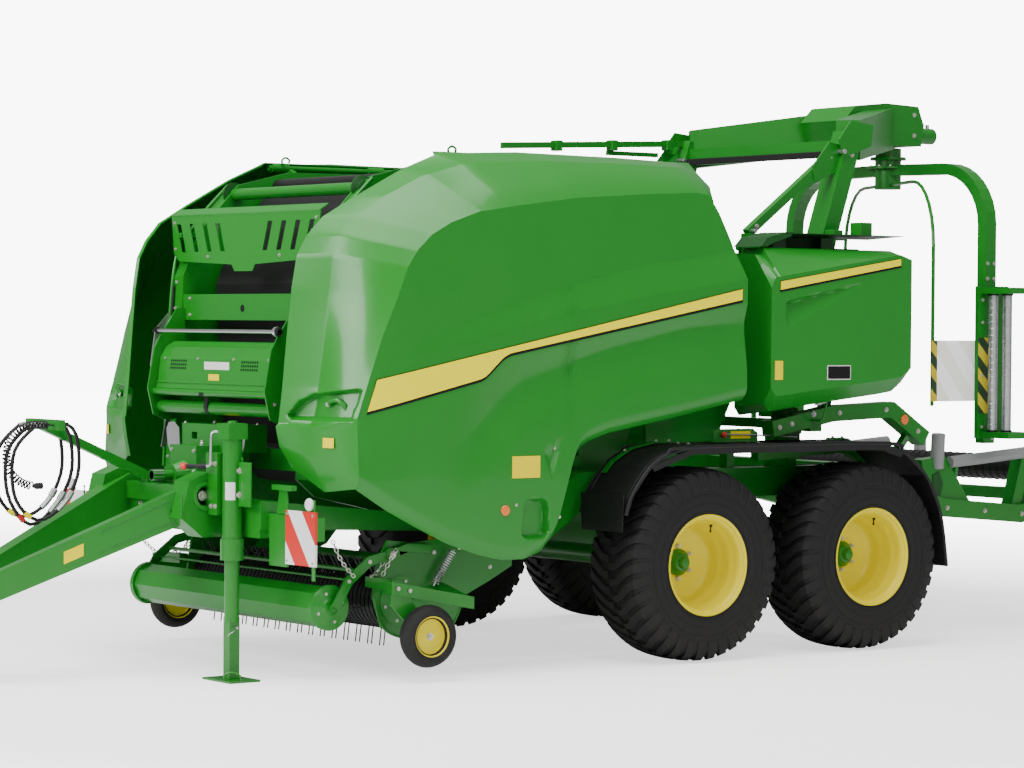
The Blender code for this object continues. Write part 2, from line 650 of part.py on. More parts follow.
def tine_reel():
    core = rod((-1.0195, REEL_Y, REEL_Z), (1.0195, REEL_Y, REEL_Z), 0.035, 16)
    pieces = [rod((s * 0.980, REEL_Y, REEL_Z), (s * 0.991, REEL_Y, REEL_Z), 0.135, 20)
              for s in (-1, 1)]
    for k in range(5):
        a = math.radians(-97 + 72 * k)
        out = Vector((0, math.cos(a), math.sin(a)))
        hub = Vector((0, REEL_Y, REEL_Z))
        seat = hub + out * 0.12
        pieces.append(rod(seat - Vector((0.985, 0, 0)), seat + Vector((0.985, 0, 0)), 0.012, 8))
        for i in range(BAND_COUNT - 1):
            across = Vector(((i - (BAND_COUNT - 2) / 2) * BAND_PITCH, 0, 0))
            pieces.append(rod(hub + out * 0.117 + across, hub + out * 0.27 + across, 0.0045, 4))
    return join(core, *pieces)


def guard_arms():
    path = [(GUARD_PIN_Y, GUARD_PIN_Z), (-2.17, 0.668), (-2.31, 0.56), (GUARD_Y, GUARD_Z)]
    pieces = list(both(band, path, 0.055, YZ, 1.0625, 1.078))
    pieces += both(rod, (1.0625, GUARD_PIN_Y, GUARD_PIN_Z), (1.085, GUARD_PIN_Y, GUARD_PIN_Z),
                   0.04, 16)
    for y, z, radius in ((-2.225, 0.615, 0.012), (-2.290, 0.565, 0.007)):
        pieces.append(rod((-1.07, y, z), (1.07, y, z), radius, 10))
    return join(pieces[0], *pieces[1:])


def guard_roller():
    drum = rod((-1.0, GUARD_Y, GUARD_Z), (1.0, GUARD_Y, GUARD_Z), 0.118, 8)
    discs = [rod((s * 0.985, GUARD_Y, GUARD_Z), (s * 1.012, GUARD_Y, GUARD_Z), 0.128, 24)
             for s in (-1, 1)]
    shaft = rod((-1.062, GUARD_Y, GUARD_Z), (1.062, GUARD_Y, GUARD_Z), 0.018, 12)
    return join(drum, *discs, shaft)


# Wrapper

def film_section(y, inset, low, ridge, roof):
    x = 1.425 - inset
    return [(0.96, y, low), (x, y, low + 0.04), (x, y, ridge), (x - 0.05, y, ridge + 0.05),
            (1.20, y, roof - inset), (0.96, y, roof - inset)]


def film_door():
    """Moulded cover of the film box, open towards the middle of the machine."""
    outer = loft([film_section(0.580, 0.035, 1.52, 2.25, 2.48),
                  film_section(0.640, 0.0, 1.52, 2.27, 2.50),
                  film_section(1.700, 0.0, 1.64, 2.41, 2.50),
                  film_section(1.755, 0.035, 1.66, 2.41, 2.48)])
    inner = loft([[(0.90, p[1], p[2]) if p[0] < 1.0 else p for p in ring] for ring in (
        film_section(0.600, 0.047, 1.535, 2.24, 2.505),
        film_section(0.645, 0.012, 1.535, 2.262, 2.500),
        film_section(1.695, 0.012, 1.655, 2.402, 2.500),
        film_section(1.735, 0.047, 1.675, 2.398, 2.505))])
    return cut(outer, inner)


def film_rack():
    back = box(0.955, 0.9597, 0.66, 1.68, 1.60, 2.50)
    rail = rod((0.945, 0.66, 2.50), (0.945, 1.68, 2.50), 0.0147, 12)
    post = box(0.945, 0.9597, 0.95, 1.05, 1.35, 2.5770)
    posts = [box(0.945, 0.9597, 1.35, 1.45, 1.42, 2.5770)]
    return join(back, rail, post, *posts)


def deck():
    sheet = slab([(0.90, 2.5753), (1.24, 2.5903), (1.24, 2.5953), (0.90, 2.5803)], XZ, 0.82, 1.80)
    flange = slab([(0.90, 2.50), (0.905, 2.50), (0.905, 2.5785), (0.90, 2.5785)], XZ, 0.82, 1.45)
    return join(sheet, flange)


def wrapper_frame():
    upper = band([(0.75, 1.38), (1.25, 1.47), (1.76, 1.49), (2.06, 1.30)], 0.10, YZ, 1.09, 1.20)
    lower = band([(0.80, 1.22), (1.55, 1.26), (2.00, 1.06)], 0.09, YZ, 0.93, 1.00)
    post = box(0.81, 0.91, 1.02, 1.20, 1.1303, 1.36)
    cross = box(0.82, 1.19, 1.06, 1.16, 1.36, 1.44)
    second = box(0.82, 1.10, 1.66, 1.72, 1.44, 1.50)
    strut = beam((1.15, 1.95, 1.35), (0.95, 1.95, 1.12), 0.05, 0.06)
    one = join(upper, lower, post, cross, second, strut, box(0.90, 1.0, 1.05, 1.15, 1.18, 1.40))
    other = mirrored(one)
    return join(one, other, box(-0.90, 0.90, 1.07, 1.15, 1.37, 1.43))


def gantry():
    path = [(1.13, 1.475), (1.28, 1.75), (1.50, 2.60), (1.72, 3.26)]
    mast = slab(strip(path, 0.12), YZ, 0.72, 0.88)
    foot = box(0.70, 0.90, 1.0603, 1.22, 1.4403, 1.50)
    brace = band([(0.86, 2.60), (1.62, 3.16)], 0.055, YZ, 0.78, 0.83)
    arm = beam((0.80, 1.72, 3.22), (0.16, 2.62, 3.36), 0.16, 0.26, 0.16, 0.28)
    shelf = box(0.76, 0.85, 0.85, 1.66, 2.57, 2.60)
    one = join(mast, foot, brace, arm, shelf)
    other = mirrored(one)
    cross = box(-0.80, 0.80, 1.66, 1.74, 3.12, 3.22)
    side = [(2.30, 3.24), (2.22, 3.40), (2.32, 3.50), (2.60, 3.53), (2.90, 3.52), (2.95, 3.40),
            (2.93, 3.25)]
    head = slab(side, YZ, -0.22, 0.22)
    motor = rod((0.10, 2.90, 3.33), (0.10, 3.14, 3.33), 0.055, 20)
    rail = beam((-0.80, 0.12, 3.19), (-0.80, 1.70, 3.26), 0.03, 0.04)
    return join(one, other, cross, head, motor, rail)


def wrap_rotor():
    bend = arc((0.575, 2.70), 0.38, 0, 90, 9)
    half = [(LEG_X, 1.25)] + bend + [(0.0, 3.09)]
    path = half + [(-x, z) for x, z in half[-2::-1]]
    bar = slab(strip(path, 0.075), XZ, ROTOR_Y - 0.05, ROTOR_Y + 0.05)
    hub = rod((0, ROTOR_Y, 2.96), (0, ROTOR_Y, 3.2397), 0.09, 20)
    reach = Vector((0.925, -0.46))
    run = [(reach.x, ROTOR_Y + reach.y, 1.50), (reach.x, ROTOR_Y + reach.y, 2.55)]
    for k in range(1, 8):
        a = math.radians(90 * k / 7)
        s = 1 - 0.45 * (1 - math.cos(a))
        run.append((reach.x * s, ROTOR_Y + reach.y * s, 2.55 + 0.44 * math.sin(a)))
    run.append((0, ROTOR_Y, 2.99))
    near = tube(run, 0.0125, 2)
    far = turned_half(tube(run, 0.0125, 2))
    return join(bar, hub, near, far)


def film_unit():
    x = LEG_X + 0.0375 + GAP
    back = box(x, x + 0.03, ROTOR_Y - 0.14, ROTOR_Y + 0.14, 1.285, 2.29)
    top = box(x + 0.01, 1.29, ROTOR_Y - 0.12, ROTOR_Y + 0.12, 2.24, 2.28)
    base = box(x + 0.01, 1.29, ROTOR_Y - 0.12, ROTOR_Y + 0.12, 1.29, 1.33)
    edge = box(1.26, 1.285, ROTOR_Y + 0.08, ROTOR_Y + 0.11, 1.30, 2.26)
    rollers = [rod((1.08, ROTOR_Y - 0.06, 1.32), (1.08, ROTOR_Y - 0.06, 2.25), 0.030, 14),
               rod((1.16, ROTOR_Y - 0.01, 1.32), (1.16, ROTOR_Y - 0.01, 2.25), 0.030, 14)]
    return join(back, top, base, edge, *rollers)


def safety_flap():
    y0 = ROTOR_Y - 0.05 - GAP
    return box(0.9378, 0.9418, y0 - 0.41, y0, 1.53, 1.93)


def wrap_table():
    arm = band([(TABLE_Y, TABLE_Z), (2.60, 0.82), (3.30, 0.76), (3.79, 0.86), (3.8465, 0.98)],
               0.12, YZ, 0.76, 0.84)
    plate = slab([(2.48, 0.86), (2.40, 1.14), (2.62, 1.16), (2.86, 0.84)], YZ, 0.7, 0.80)
    second = slab([(3.24, 0.80), (3.34, 1.14), (3.56, 1.14), (3.66, 0.84)], YZ, 0.7, 0.80)
    guide = rod((0.80, 2.66, 1.12), (0.80, 3.60, 1.19), 0.038, 14)
    stem = rod((0.78, 2.72, 1.0), (0.80, 2.72, 1.13), 0.02, 10)
    stem_b = rod((0.78, 3.50, 0.95), (0.80, 3.50, 1.18), 0.02, 10)
    cone = rod((0.78, 2.56, 1.08), (0.805, 2.55, 1.31), 0.045, 16)
    cone_b = rod((0.70, 3.84, 0.92), (0.72, 3.85, 1.23), 0.045, 16)
    reach = box(0.66, 0.80, 3.80, 3.88, 0.88, 0.96)
    one = join(arm, plate, second, guide, stem, stem_b, cone, reach, cone_b)
    other = mirrored(one)
    pin = rod((-0.80, TABLE_Y, TABLE_Z), (0.80, TABLE_Y, TABLE_Z), 0.030, 32)
    cross = [box(-0.80, 0.80, 2.94, 3.04, 0.76, 0.84), box(-0.80, 0.80, 3.74, 3.82, 0.82, 0.90)]
    return join(one, other, pin, *cross)


def table_roller(y):
    return rod((-0.6995, y, 1.06), (0.6995, y, 1.06), 0.085, 20)


# Hoses, signs

def smooth(points, count):
    """Evenly spaced places on a curve through the points."""
    ends = [points[0], *points, points[-1]]
    fine = []
    for a, b, c, d in zip(ends, ends[1:], ends[2:], ends[3:]):
        for k in range(12):
            t = k / 12
            fine.append(0.5 * (2 * b + (c - a) * t + (2 * a - 5 * b + 4 * c - d) * t * t
                               + (3 * b - a - 3 * c + d) * t ** 3))
    fine.append(points[-1])
    length = [0.0]
    for p, q in zip(fine, fine[1:]):
        length.append(length[-1] + (q - p).length)
    even, k = [], 0
    for i in range(count):
        want = length[-1] * i / (count - 1)
        while k < len(fine) - 2 and length[k + 1] < want:
            k += 1
        part = (want - length[k]) / max(1e-9, length[k + 1] - length[k])
        even.append(fine[k].lerp(fine[k + 1], min(1, part)))
    return even


def cord(x, places, radius, count, first, last=None):
    """A free cord whose ends leave their fittings level."""
    run = smooth([Vector((x, y, z)) for y, z in places], count)
    run = [Vector((x, first, run[0].z))] + run
    if last is not None:
        run.append(Vector((x, last, run[-1].z)))
    return tube(run, radius, 2)


def hose(x, drop):
    places = [(-3.67, 1.43), (-3.73, 1.41), (-3.85, 1.27), (-3.84, 1.02), (-3.70, 0.90 - drop),
              (-3.54, 0.97), (-3.44, 1.15), (-3.45, 1.36), (-3.51, 1.43), (-3.56, 1.43)]
    return cord(x, places, 0.011, 32, -3.6403, -3.5997)


def coil_cable():
    places = [(-3.67, 1.43), (-3.78, 1.43), (-3.88, 1.39), (-3.93, 1.31), (-3.93, 1.20),
              (-3.86, 1.12), (-3.78, 1.09)]
    return cord(0.06, places, 0.026, 8, -3.6403)


def hazard_plate():
    return box(1.12, 1.42, -2.7650, -2.75, 0.68, 0.98)


def build():
    finish(chassis(), "chassis", GREEN)
    finish(bogie(), "bogie", GREEN)
    for side, sign in (("left", 1), ("right", -1)):
        for name, y in (("front", 0), ("rear", TANDEM)):
            centre = (sign * TYRE_X, y, TYRE_R)
            wheel = placed(rim(), TYRE_X, y, TYRE_R)
            cover = placed(tyre(), TYRE_X, y, TYRE_R)
            if sign < 0:
                wheel, cover = mirrored(wheel), mirrored(cover)
            finish(cover, f"tyre_{name}_{side}", RUBBER, centre, roughness=0.8)
            finish(wheel, f"rim_{name}_{side}", YELLOW, centre)
        mud = fender() if sign > 0 else mirrored(fender())
        finish(mud, f"fender_{side}", BLACK, roughness=0.6)
    finish(drawbar(), "drawbar", GREEN)
    finish(jack_column(), "jack_column", GREEN)
    finish(jack_leg(), "jack_leg", GREEN, (JACK_X, JACK_Y, 0))
    finish(gearbox(), "gearbox", GREEN)
    finish(chamber(), "bale_chamber", GREEN)
    finish(belts(), "belts", BLACK, roughness=0.8)
    finish(roller(-1.68, 2.8533, 0.05), "top_roller", BLACK, (0, -1.68, 2.8533))
    finish(grille(), "front_grille", LIGHT_GREEN)
    finish(net_tray(), "net_tray", GREEN)
    finish(net_cover(), "net_cover", LIGHT_GREEN, (0, -2.57, 1.60))
    finish(net_lever(), "net_lever", STEEL, metallic=0.9)
    finish(side_door(), "side_door_left", GREEN, (HINGE_X, 0, HINGE_Z))
    finish(mirrored(side_door()), "side_door_right", GREEN, (-HINGE_X, 0, HINGE_Z))
    finish(tailgate(), "tailgate", GREEN, (0, -0.14, 2.90))
    finish(pickup_frame(), "pickup_frame", GREEN, (0, LIFT_Y, LIFT_Z))
    finish(stripper_bands(), "stripper_bands", BLACK)
    finish(tine_reel(), "tine_reel", STEEL, (0, REEL_Y, REEL_Z), metallic=0.7)
    finish(guard_arms(), "guard_arms", GREEN, (0, GUARD_PIN_Y, GUARD_PIN_Z))
    finish(guard_roller(), "guard_roller", LIGHT_GREEN, (0, GUARD_Y, GUARD_Z))
    wheel = placed(gauge_wheel(), 1.39, GAUGE_Y, GAUGE_Z)
    finish(mirrored(placed(gauge_wheel(), 1.39, GAUGE_Y, GAUGE_Z)), "gauge_wheel_right", RUBBER,
           (-1.39, GAUGE_Y, GAUGE_Z), roughness=0.8)
    finish(wheel, "gauge_wheel_left", RUBBER, (1.39, GAUGE_Y, GAUGE_Z), roughness=0.8)
    finish(film_rack(), "film_rack_left", GREEN)
    finish(mirrored(film_rack()), "film_rack_right", GREEN)
    finish(film_door(), "film_door_left", GREEN, (0.950, 0.575, 2.0))
    finish(mirrored(film_door()), "film_door_right", GREEN, (-0.950, 0.575, 2.0))
    finish(deck(), "deck_left", DARK_GREEN)
    finish(mirrored(deck()), "deck_right", DARK_GREEN)
    finish(wrapper_frame(), "wrapper_frame", GREEN)
    finish(gantry(), "gantry", GREEN)
    finish(wrap_rotor(), "wrap_rotor", GREEN, (0, ROTOR_Y, 3.0))
    finish(film_unit(), "film_unit_left", GREEN)
    finish(turned_half(film_unit()), "film_unit_right", GREEN)
    finish(safety_flap(), "safety_flap_left", WHITE)
    finish(turned_half(safety_flap()), "safety_flap_right", WHITE)
    finish(wrap_table(), "wrap_table", GREEN, (0, TABLE_Y, TABLE_Z))
    finish(table_roller(2.62), "table_roller_front", STEEL, (0, 2.62, 1.06), metallic=0.5)
    finish(table_roller(3.45), "table_roller_rear", STEEL, (0, 3.45, 1.06), metallic=0.5)
    finish(hose_holder(), "hose_holder", GREEN)
    finish(hose(-0.22, 0.0), "hose_right", BLACK, roughness=0.7)
    finish(hose(-0.10, 0.04), "hose_middle", BLACK, roughness=0.7)
    finish(hose(-0.02, 0.01), "hose_left", BLACK, roughness=0.7)
    finish(coil_cable(), "coil_cable", BLACK, roughness=0.7)
    finish(hazard_plate(), "hazard_plate_left", RED)
    finish(mirrored(hazard_plate()), "hazard_plate_right", RED)


build()
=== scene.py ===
import math

import bmesh
import bpy
from mathutils import Matrix, Vector


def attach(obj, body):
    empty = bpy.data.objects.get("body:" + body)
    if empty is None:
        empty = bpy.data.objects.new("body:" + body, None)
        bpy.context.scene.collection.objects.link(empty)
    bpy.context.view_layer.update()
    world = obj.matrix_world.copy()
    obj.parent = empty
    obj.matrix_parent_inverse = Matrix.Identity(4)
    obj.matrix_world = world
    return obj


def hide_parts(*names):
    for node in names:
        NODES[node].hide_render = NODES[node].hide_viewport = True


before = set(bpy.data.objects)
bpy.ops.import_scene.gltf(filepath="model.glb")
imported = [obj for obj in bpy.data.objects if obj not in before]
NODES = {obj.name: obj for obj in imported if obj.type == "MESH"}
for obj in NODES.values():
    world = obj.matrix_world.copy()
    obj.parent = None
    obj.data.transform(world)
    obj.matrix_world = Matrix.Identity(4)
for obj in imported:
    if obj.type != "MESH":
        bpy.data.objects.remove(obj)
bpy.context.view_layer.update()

AXLE_Y = 0.35     # front axle, from the middle of the machine
TANDEM = 1.335
WHEEL_X = 1.25
WHEEL_Z = 0.585
ROTOR_Y = 2.83
REEL = (-1.93, 0.43)             # axis of the tine reel, along y and z
GUARD = (-2.4, 0.41)             # axis of the crop guard's roller
GAUGE = (1.39, -1.983, 0.259)    # middle of a gauge wheel
TINE_PITCH = 0.125 / 3
YZ = Matrix(((0, 0, 1, 0), (1, 0, 0, 0), (0, 1, 0, 0), (0, 0, 0, 1)))
XZ = Matrix(((1, 0, 0, 0), (0, 0, -1, 0), (0, 1, 0, 0), (0, 0, 0, 1)))
XY = Matrix.Identity(4)
SIDES = (("left", 1), ("right", -1))


# Camera, light and floor

def camera():
    turn, pitch, roll = (math.radians(a) for a in (53.39977, 1.12194, 0.41536))
    ahead = Vector((-math.sin(turn) * math.cos(pitch), math.cos(turn) * math.cos(pitch),
        -math.sin(pitch)))
    right = Vector((math.cos(turn), math.sin(turn), 0))
    up = right.cross(ahead)
    x = right * math.cos(roll) + up * math.sin(roll)
    y = -right * math.sin(roll) + up * math.cos(roll)
    data = bpy.data.cameras.new("camera")
    data.lens = 36 * 3163.98 / 1024
    data.sensor_width = 36
    data.clip_end = 200
    item = bpy.data.objects.new("camera", data)
    bpy.context.scene.collection.objects.link(item)
    axes = Matrix((x, y, -ahead)).transposed().to_4x4()
    item.matrix_world = Matrix.Translation((15.93868, -11.86213, 2.03074)) @ axes
    bpy.context.scene.camera = item


def area_light(name, place, target, size, power, colour=(1, 1, 1)):
    data = bpy.data.lights.new(name, "AREA")
    data.shape = "RECTANGLE"
    data.size, data.size_y = size
    data.energy = power
    data.color = colour
    item = bpy.data.objects.new(name, data)
    bpy.context.scene.collection.objects.link(item)
    item.location = place
    item.rotation_euler = (Vector(target) - Vector(place)).to_track_quat("-Z", "Y").to_euler()


def studio():
    world = bpy.data.worlds.new("studio")
    bpy.context.scene.world = world
    world.use_nodes = True
    tree = world.node_tree
    seen = node(tree, "LightPath", {}).outputs["Is Camera Ray"]
    glow = node(tree, "MapRange", {"Value": seen, "To Min": 0.42, "To Max": 9.0}).outputs[0]
    back = tree.nodes["Background"]
    back.inputs["Color"].default_value = (1, 1, 1, 1)
    tree.links.new(glow, back.inputs["Strength"])
    area_light("top_light", (2, -3, 12), (0, 0, 0), (10, 12), 2000)
    area_light("front_light", (0, -15, 8), (0, -1, 1.5), (8, 5), 1750)
    area_light("left_light", (15, -2, 8), (0, 0, 1.5), (7, 5), 480)
    bm = bmesh.new()
    size = 60
    bm.faces.new([bm.verts.new(p)
        for p in ((-size, -size, 0), (size, -size, 0), (size, size, 0), (-size, size, 0))])
    mesh = bpy.data.meshes.new("floor")
    bm.to_mesh(mesh)
    floor = bpy.data.objects.new("floor", mesh)
    bpy.context.scene.collection.objects.link(floor)
    paint = material("floor_white", (0.95, 0.95, 0.95), rough=0.7, spots=0.004, grain=0.0)
    tree = paint.node_tree
    place = node(tree, "TexCoord", {}).outputs["Object"]
    reach = node(tree, "VectorMath", {0: place}, operation="LENGTH").outputs["Value"]
    fade = node(tree, "MapRange",
        {"Value": reach, "From Min": 5.5, "From Max": 17.0, "To Min": 1.15, "To Max": 9.0}).outputs[0]
    seen = node(tree, "LightPath", {}).outputs["Is Camera Ray"]
    glow = node(tree, "MapRange", {"Value": seen, "To Max": fade}).outputs[0]
    shader = tree.nodes["Principled BSDF"]
    shader.inputs["Emission Color"].default_value = (1, 1, 1, 1)
    tree.links.new(glow, shader.inputs["Emission Strength"])
    mesh.materials.append(paint)


# Materials

ROUGH_SPREAD = 0.06     # how far roughness strays from its middle


def node(tree, kind, inputs, **settings):
    """A shader node; an input is given a value or linked to another node's output."""
    item = tree.nodes.new("ShaderNode" + kind)
    for name, value in settings.items():
        setattr(item, name, value)
    for name, value in inputs.items():
        if isinstance(value, bpy.types.NodeSocket):
            tree.links.new(value, item.inputs[name])
        else:
            item.inputs[name].default_value = value
    return item


def material(name, colour, rough=0.4, metal=0.0, coat=0.0, spots=0.05, spot_scale=3.0, grain=0.02,
        grain_scale=220.0, stretch=(1, 1, 1), alpha=1.0, dust=0.0, shine=0.5):
    """A painted, moulded or metal surface with soft tone changes and a fine grain."""
    mat = bpy.data.materials.new(name)
    mat.use_nodes = True
    tree = mat.node_tree
    shader = tree.nodes["Principled BSDF"]
    for key, value in (("Metallic", metal), ("Coat Weight", coat), ("Coat Roughness", 0.12),
            ("Alpha", alpha), ("Specular IOR Level", shine)):
        shader.inputs[key].default_value = value
    place = node(tree, "TexCoord", {}).outputs["Object"]
    mapped = node(tree, "Mapping", {"Vector": place, "Scale": stretch}).outputs[0]
    broad = node(tree, "TexNoise", {"Vector": mapped, "Scale": spot_scale, "Detail": 5}).outputs[0]
    dark, light = ((*(min(1.0, c * (1 + k * spots)) for c in colour), 1) for k in (-1, 1))
    tone = node(tree, "Mix", {0: broad, 6: dark, 7: light}, data_type="RGBA").outputs[2]
    if dust > 0:
        height = node(tree, "SeparateXYZ", {0: place}).outputs["Z"]
        low = node(tree, "MapRange",
            {"Value": height, "From Min": 1.1, "From Max": 0.0, "To Max": dust}).outputs[0]
        speck = node(tree, "TexNoise", {"Vector": place, "Scale": 14, "Detail": 8}).outputs[0]
        much = node(tree, "Math", {0: low, 1: speck}, operation="MULTIPLY").outputs[0]
        tone = node(tree, "Mix", {0: much, 6: tone, 7: (0.2, 0.17, 0.13, 1)},
            data_type="RGBA").outputs[2]
    tree.links.new(tone, shader.inputs["Base Color"])
    spread = node(tree, "MapRange",
        {"Value": broad, "To Min": max(0.02, rough - ROUGH_SPREAD),
        "To Max": min(1.0, rough + ROUGH_SPREAD)})
    tree.links.new(spread.outputs[0], shader.inputs["Roughness"])
    if grain > 0:
        fine = node(tree, "TexNoise", {"Vector": mapped, "Scale": grain_scale, "Detail": 3})
        bump = node(tree, "Bump", {"Height": fine.outputs[0], "Strength": grain, "Distance": 0.002})
        tree.links.new(bump.outputs[0], shader.inputs["Normal"])
    if alpha < 1:
        mat.surface_render_method = "BLENDED"
    return mat


def striped(name, dark, light, direction, period, offset=0.0, rough=0.35, alpha=1.0):
    """Straight two-colour stripes; direction is the line across them."""
    mat = material(name, light, rough=rough, spots=0.02, grain=0.03, alpha=alpha)
    tree = mat.node_tree
    place = node(tree, "TexCoord", {}).outputs["Object"]
    across = node(tree, "VectorMath", {0: place, 1: Vector(direction).normalized() / period},
        operation="DOT_PRODUCT").outputs["Value"]
    shift = node(tree, "Math", {0: across, 1: offset + 40}, operation="ADD").outputs[0]
    part = node(tree, "Math", {0: shift}, operation="FRACT").outputs[0]
    half = node(tree, "Math", {0: part, 1: 0.5}, operation="GREATER_THAN").outputs[0]
    mix = node(tree, "Mix", {0: half, 6: (*light, 1), 7: (*dark, 1)}, data_type="RGBA")
    tree.links.new(mix.outputs[2], tree.nodes["Principled BSDF"].inputs["Base Color"])
    return mat


M = {
    "green": material("green_paint", (0.006, 0.185, 0.01), rough=0.32, coat=0.22, shine=0.35,
        spots=0.06, grain=0.015, dust=0.1),
    "green_body": material("green_body", (0.0068, 0.2, 0.011), rough=0.36, coat=0.28, shine=0.35,
        spots=0.03, grain=0.012, grain_scale=160),
    # the green paint darkened as painted shade, for parts set in cavities, under the table and under
    # the film box
    "green_painted_shade": material("green_painted_shade", (0.004, 0.07, 0.007), rough=0.45, shine=0.35, spots=0.08),
    "yellow": material("yellow_paint", (0.8, 0.66, 0.0), rough=0.4, coat=0.15, shine=0.3, spots=0.04,
        grain=0.012, dust=0.08),
    "stripe": material("stripe_yellow", (0.95, 0.82, 0.0), rough=0.6, shine=0.08, spots=0.02,
        grain=0.01),
    "decal_black": material("decal_black", (0.004, 0.004, 0.004), rough=0.45, shine=0.25, spots=0.1,
        grain=0.01),
    "sticker": material("sticker_yellow", (0.85, 0.68, 0.0), rough=0.55, shine=0.1, spots=0.04,
        grain=0.02),
    "label": material("label_white", (0.75, 0.75, 0.73), rough=0.4, spots=0.04, grain=0.02),
    "tyre": material("tyre_rubber", (0.0085, 0.0085, 0.0088), rough=0.66, shine=0.28, spots=0.16,
        spot_scale=7, grain=0.18, grain_scale=320, dust=0.05),
    "rubber": material("hose_rubber", (0.006, 0.006, 0.006), rough=0.48, shine=0.35, spots=0.15,
        grain=0.08, grain_scale=400),
    "belt": material("belt_rubber", (0.008, 0.008, 0.008), rough=0.62, shine=0.3, spots=0.2, grain=0.5,
        grain_scale=90, stretch=(1, 2.5, 2.5)),
    "plastic": material("black_plastic", (0.008, 0.008, 0.0082), rough=0.48, shine=0.32, spots=0.1,
        grain=0.22, grain_scale=650),
    "black": material("black_paint", (0.007, 0.007, 0.007), rough=0.4, shine=0.35, spots=0.12,
        grain=0.04),
    "steel": material("bare_steel", (0.56, 0.56, 0.57), rough=0.3, metal=0.95, spots=0.1, grain=0.1,
        grain_scale=120, stretch=(1, 1, 6)),
    "zinc": material("zinc_bolts", (0.62, 0.6, 0.55), rough=0.36, metal=0.9, spots=0.18, spot_scale=60,
        grain=0.05),
    "tine": material("tine_steel", (0.09, 0.09, 0.095), rough=0.38, metal=0.7, spots=0.15,
        spot_scale=30, grain=0.05),
    "grey": material("grey_paint", (0.27, 0.28, 0.28), rough=0.42, spots=0.06, grain=0.05),
    "roller": material("roller_aluminium", (0.62, 0.63, 0.64), rough=0.28, metal=0.85, spots=0.06,
        grain=0.04, stretch=(1, 1, 8)),
    "white": material("sign_white", (0.78, 0.78, 0.77), rough=0.35, spots=0.03, grain=0.02),
    "red": material("red_plastic", (0.62, 0.02, 0.015), rough=0.35, spots=0.06, grain=0.02),
    "orange": material("orange_reflector", (0.85, 0.17, 0.02), rough=0.25, spots=0.06, grain=0.35,
        grain_scale=260, coat=0.5),
    "lamp": material("lamp_white", (0.8, 0.8, 0.8), rough=0.2, spots=0.04, grain=0.2, grain_scale=180,
        coat=0.5),
    "weld": material("weld_green", (0.007, 0.15, 0.012), rough=0.35, spots=0.15, spot_scale=120,
        grain=0.6, grain_scale=120),
}
M["hazard"] = striped("hazard_sign", (0.6, 0.015, 0.012), (0.8, 0.8, 0.79), (1, 0, 0.75), 0.235, 0.62)
M["hazard_right"] = striped("hazard_sign_right", (0.6, 0.015, 0.012), (0.8, 0.8, 0.79), (-1, 0, 0.75),
    0.235, 0.62)
M["warn"] = striped("warning_strip", (0.015, 0.05, 0.02), (0.62, 0.5, 0.02), (0, 1, 1), 0.115)
M["flap"] = striped("clear_flap", (0.52, 0.5, 0.36), (0.72, 0.73, 0.73), (0, 1, 0.8), 0.2, alpha=0.72,
    rough=0.4)


# The slot that goes with a paint
SLOTS = {"green": "green_paint", "green_body": "green_paint", "green_painted_shade": "green_paint",
    "weld": "green_paint", "zinc": "bare_steel", "steel": "bare_steel", "roller": "bare_steel",
    "tine": "tine_steel", "yellow": "yellow_paint", "tyre": "tyre_rubber", "rubber": "hose_rubber",
    "plastic": "black_plastic", "black": "black_plastic", "decal_black": "black_paint",
    "grey": "grey_paint"}


# Shapes, in metres from the front axle

def box(x0, x1, y0, y1, z0, z1):
    bm = bmesh.new()
    bmesh.ops.create_cube(bm, size=1)
    bmesh.ops.scale(bm, vec=(x1 - x0, y1 - y0, z1 - z0), verts=bm.verts)
    bmesh.ops.translate(bm, vec=((x0 + x1) / 2, (y0 + y1) / 2, (z0 + z1) / 2), verts=bm.verts)
    return bm


def rod(a, b, radius, sides=20, radius_b=None):
    a, b = Vector(a), Vector(b)
    bm = bmesh.new()
    end = radius if radius_b is None else radius_b
    bmesh.ops.create_cone(bm, cap_ends=True, segments=sides, radius1=radius, radius2=end,
        depth=(b - a).length)
    turn = (b - a).to_track_quat("Z", "Y").to_matrix().to_4x4()
    bmesh.ops.transform(bm, matrix=Matrix.Translation((a + b) / 2) @ turn, verts=bm.verts)
    return bm


def loft(rings, closed=False):
    bm = bmesh.new()
    rows = [[bm.verts.new(p) for p in ring] for ring in rings]
    count = len(rows[0])
    pairs = list(zip(rows, rows[1:]))
    if closed:
        pairs.append((rows[-1], rows[0]))
    for lower, upper in pairs:
        for i in range(count):
            j = (i + 1) % count
            bm.faces.new((lower[i], lower[j], upper[j], upper[i]))
    if not closed:
        bm.faces.new(rows[0])
        bm.faces.new(rows[-1])
    return bm


def tube(path, radius, sides=12, closed=False):
    """A round bar swept along a path."""
    points = [Vector(p) for p in path]
    count = len(points)
    side = None
    rings = []
    for i, point in enumerate(points):
        before = points[i - 1] if (i or closed) else point
        after = points[(i + 1) % count] if (i < count - 1 or closed) else point
        along = (after - before).normalized()
        if side is None:
            side = along.orthogonal().normalized()
        side = (side - along * side.dot(along)).normalized()
        other = along.cross(side)
        r = radius(i / (count - 1)) if callable(radius) else radius
        rings.append([point + (side * math.cos(a) + other * math.sin(a)) * r
            for a in (2 * math.pi * k / sides for k in range(sides))])
    return loft(rings, closed)


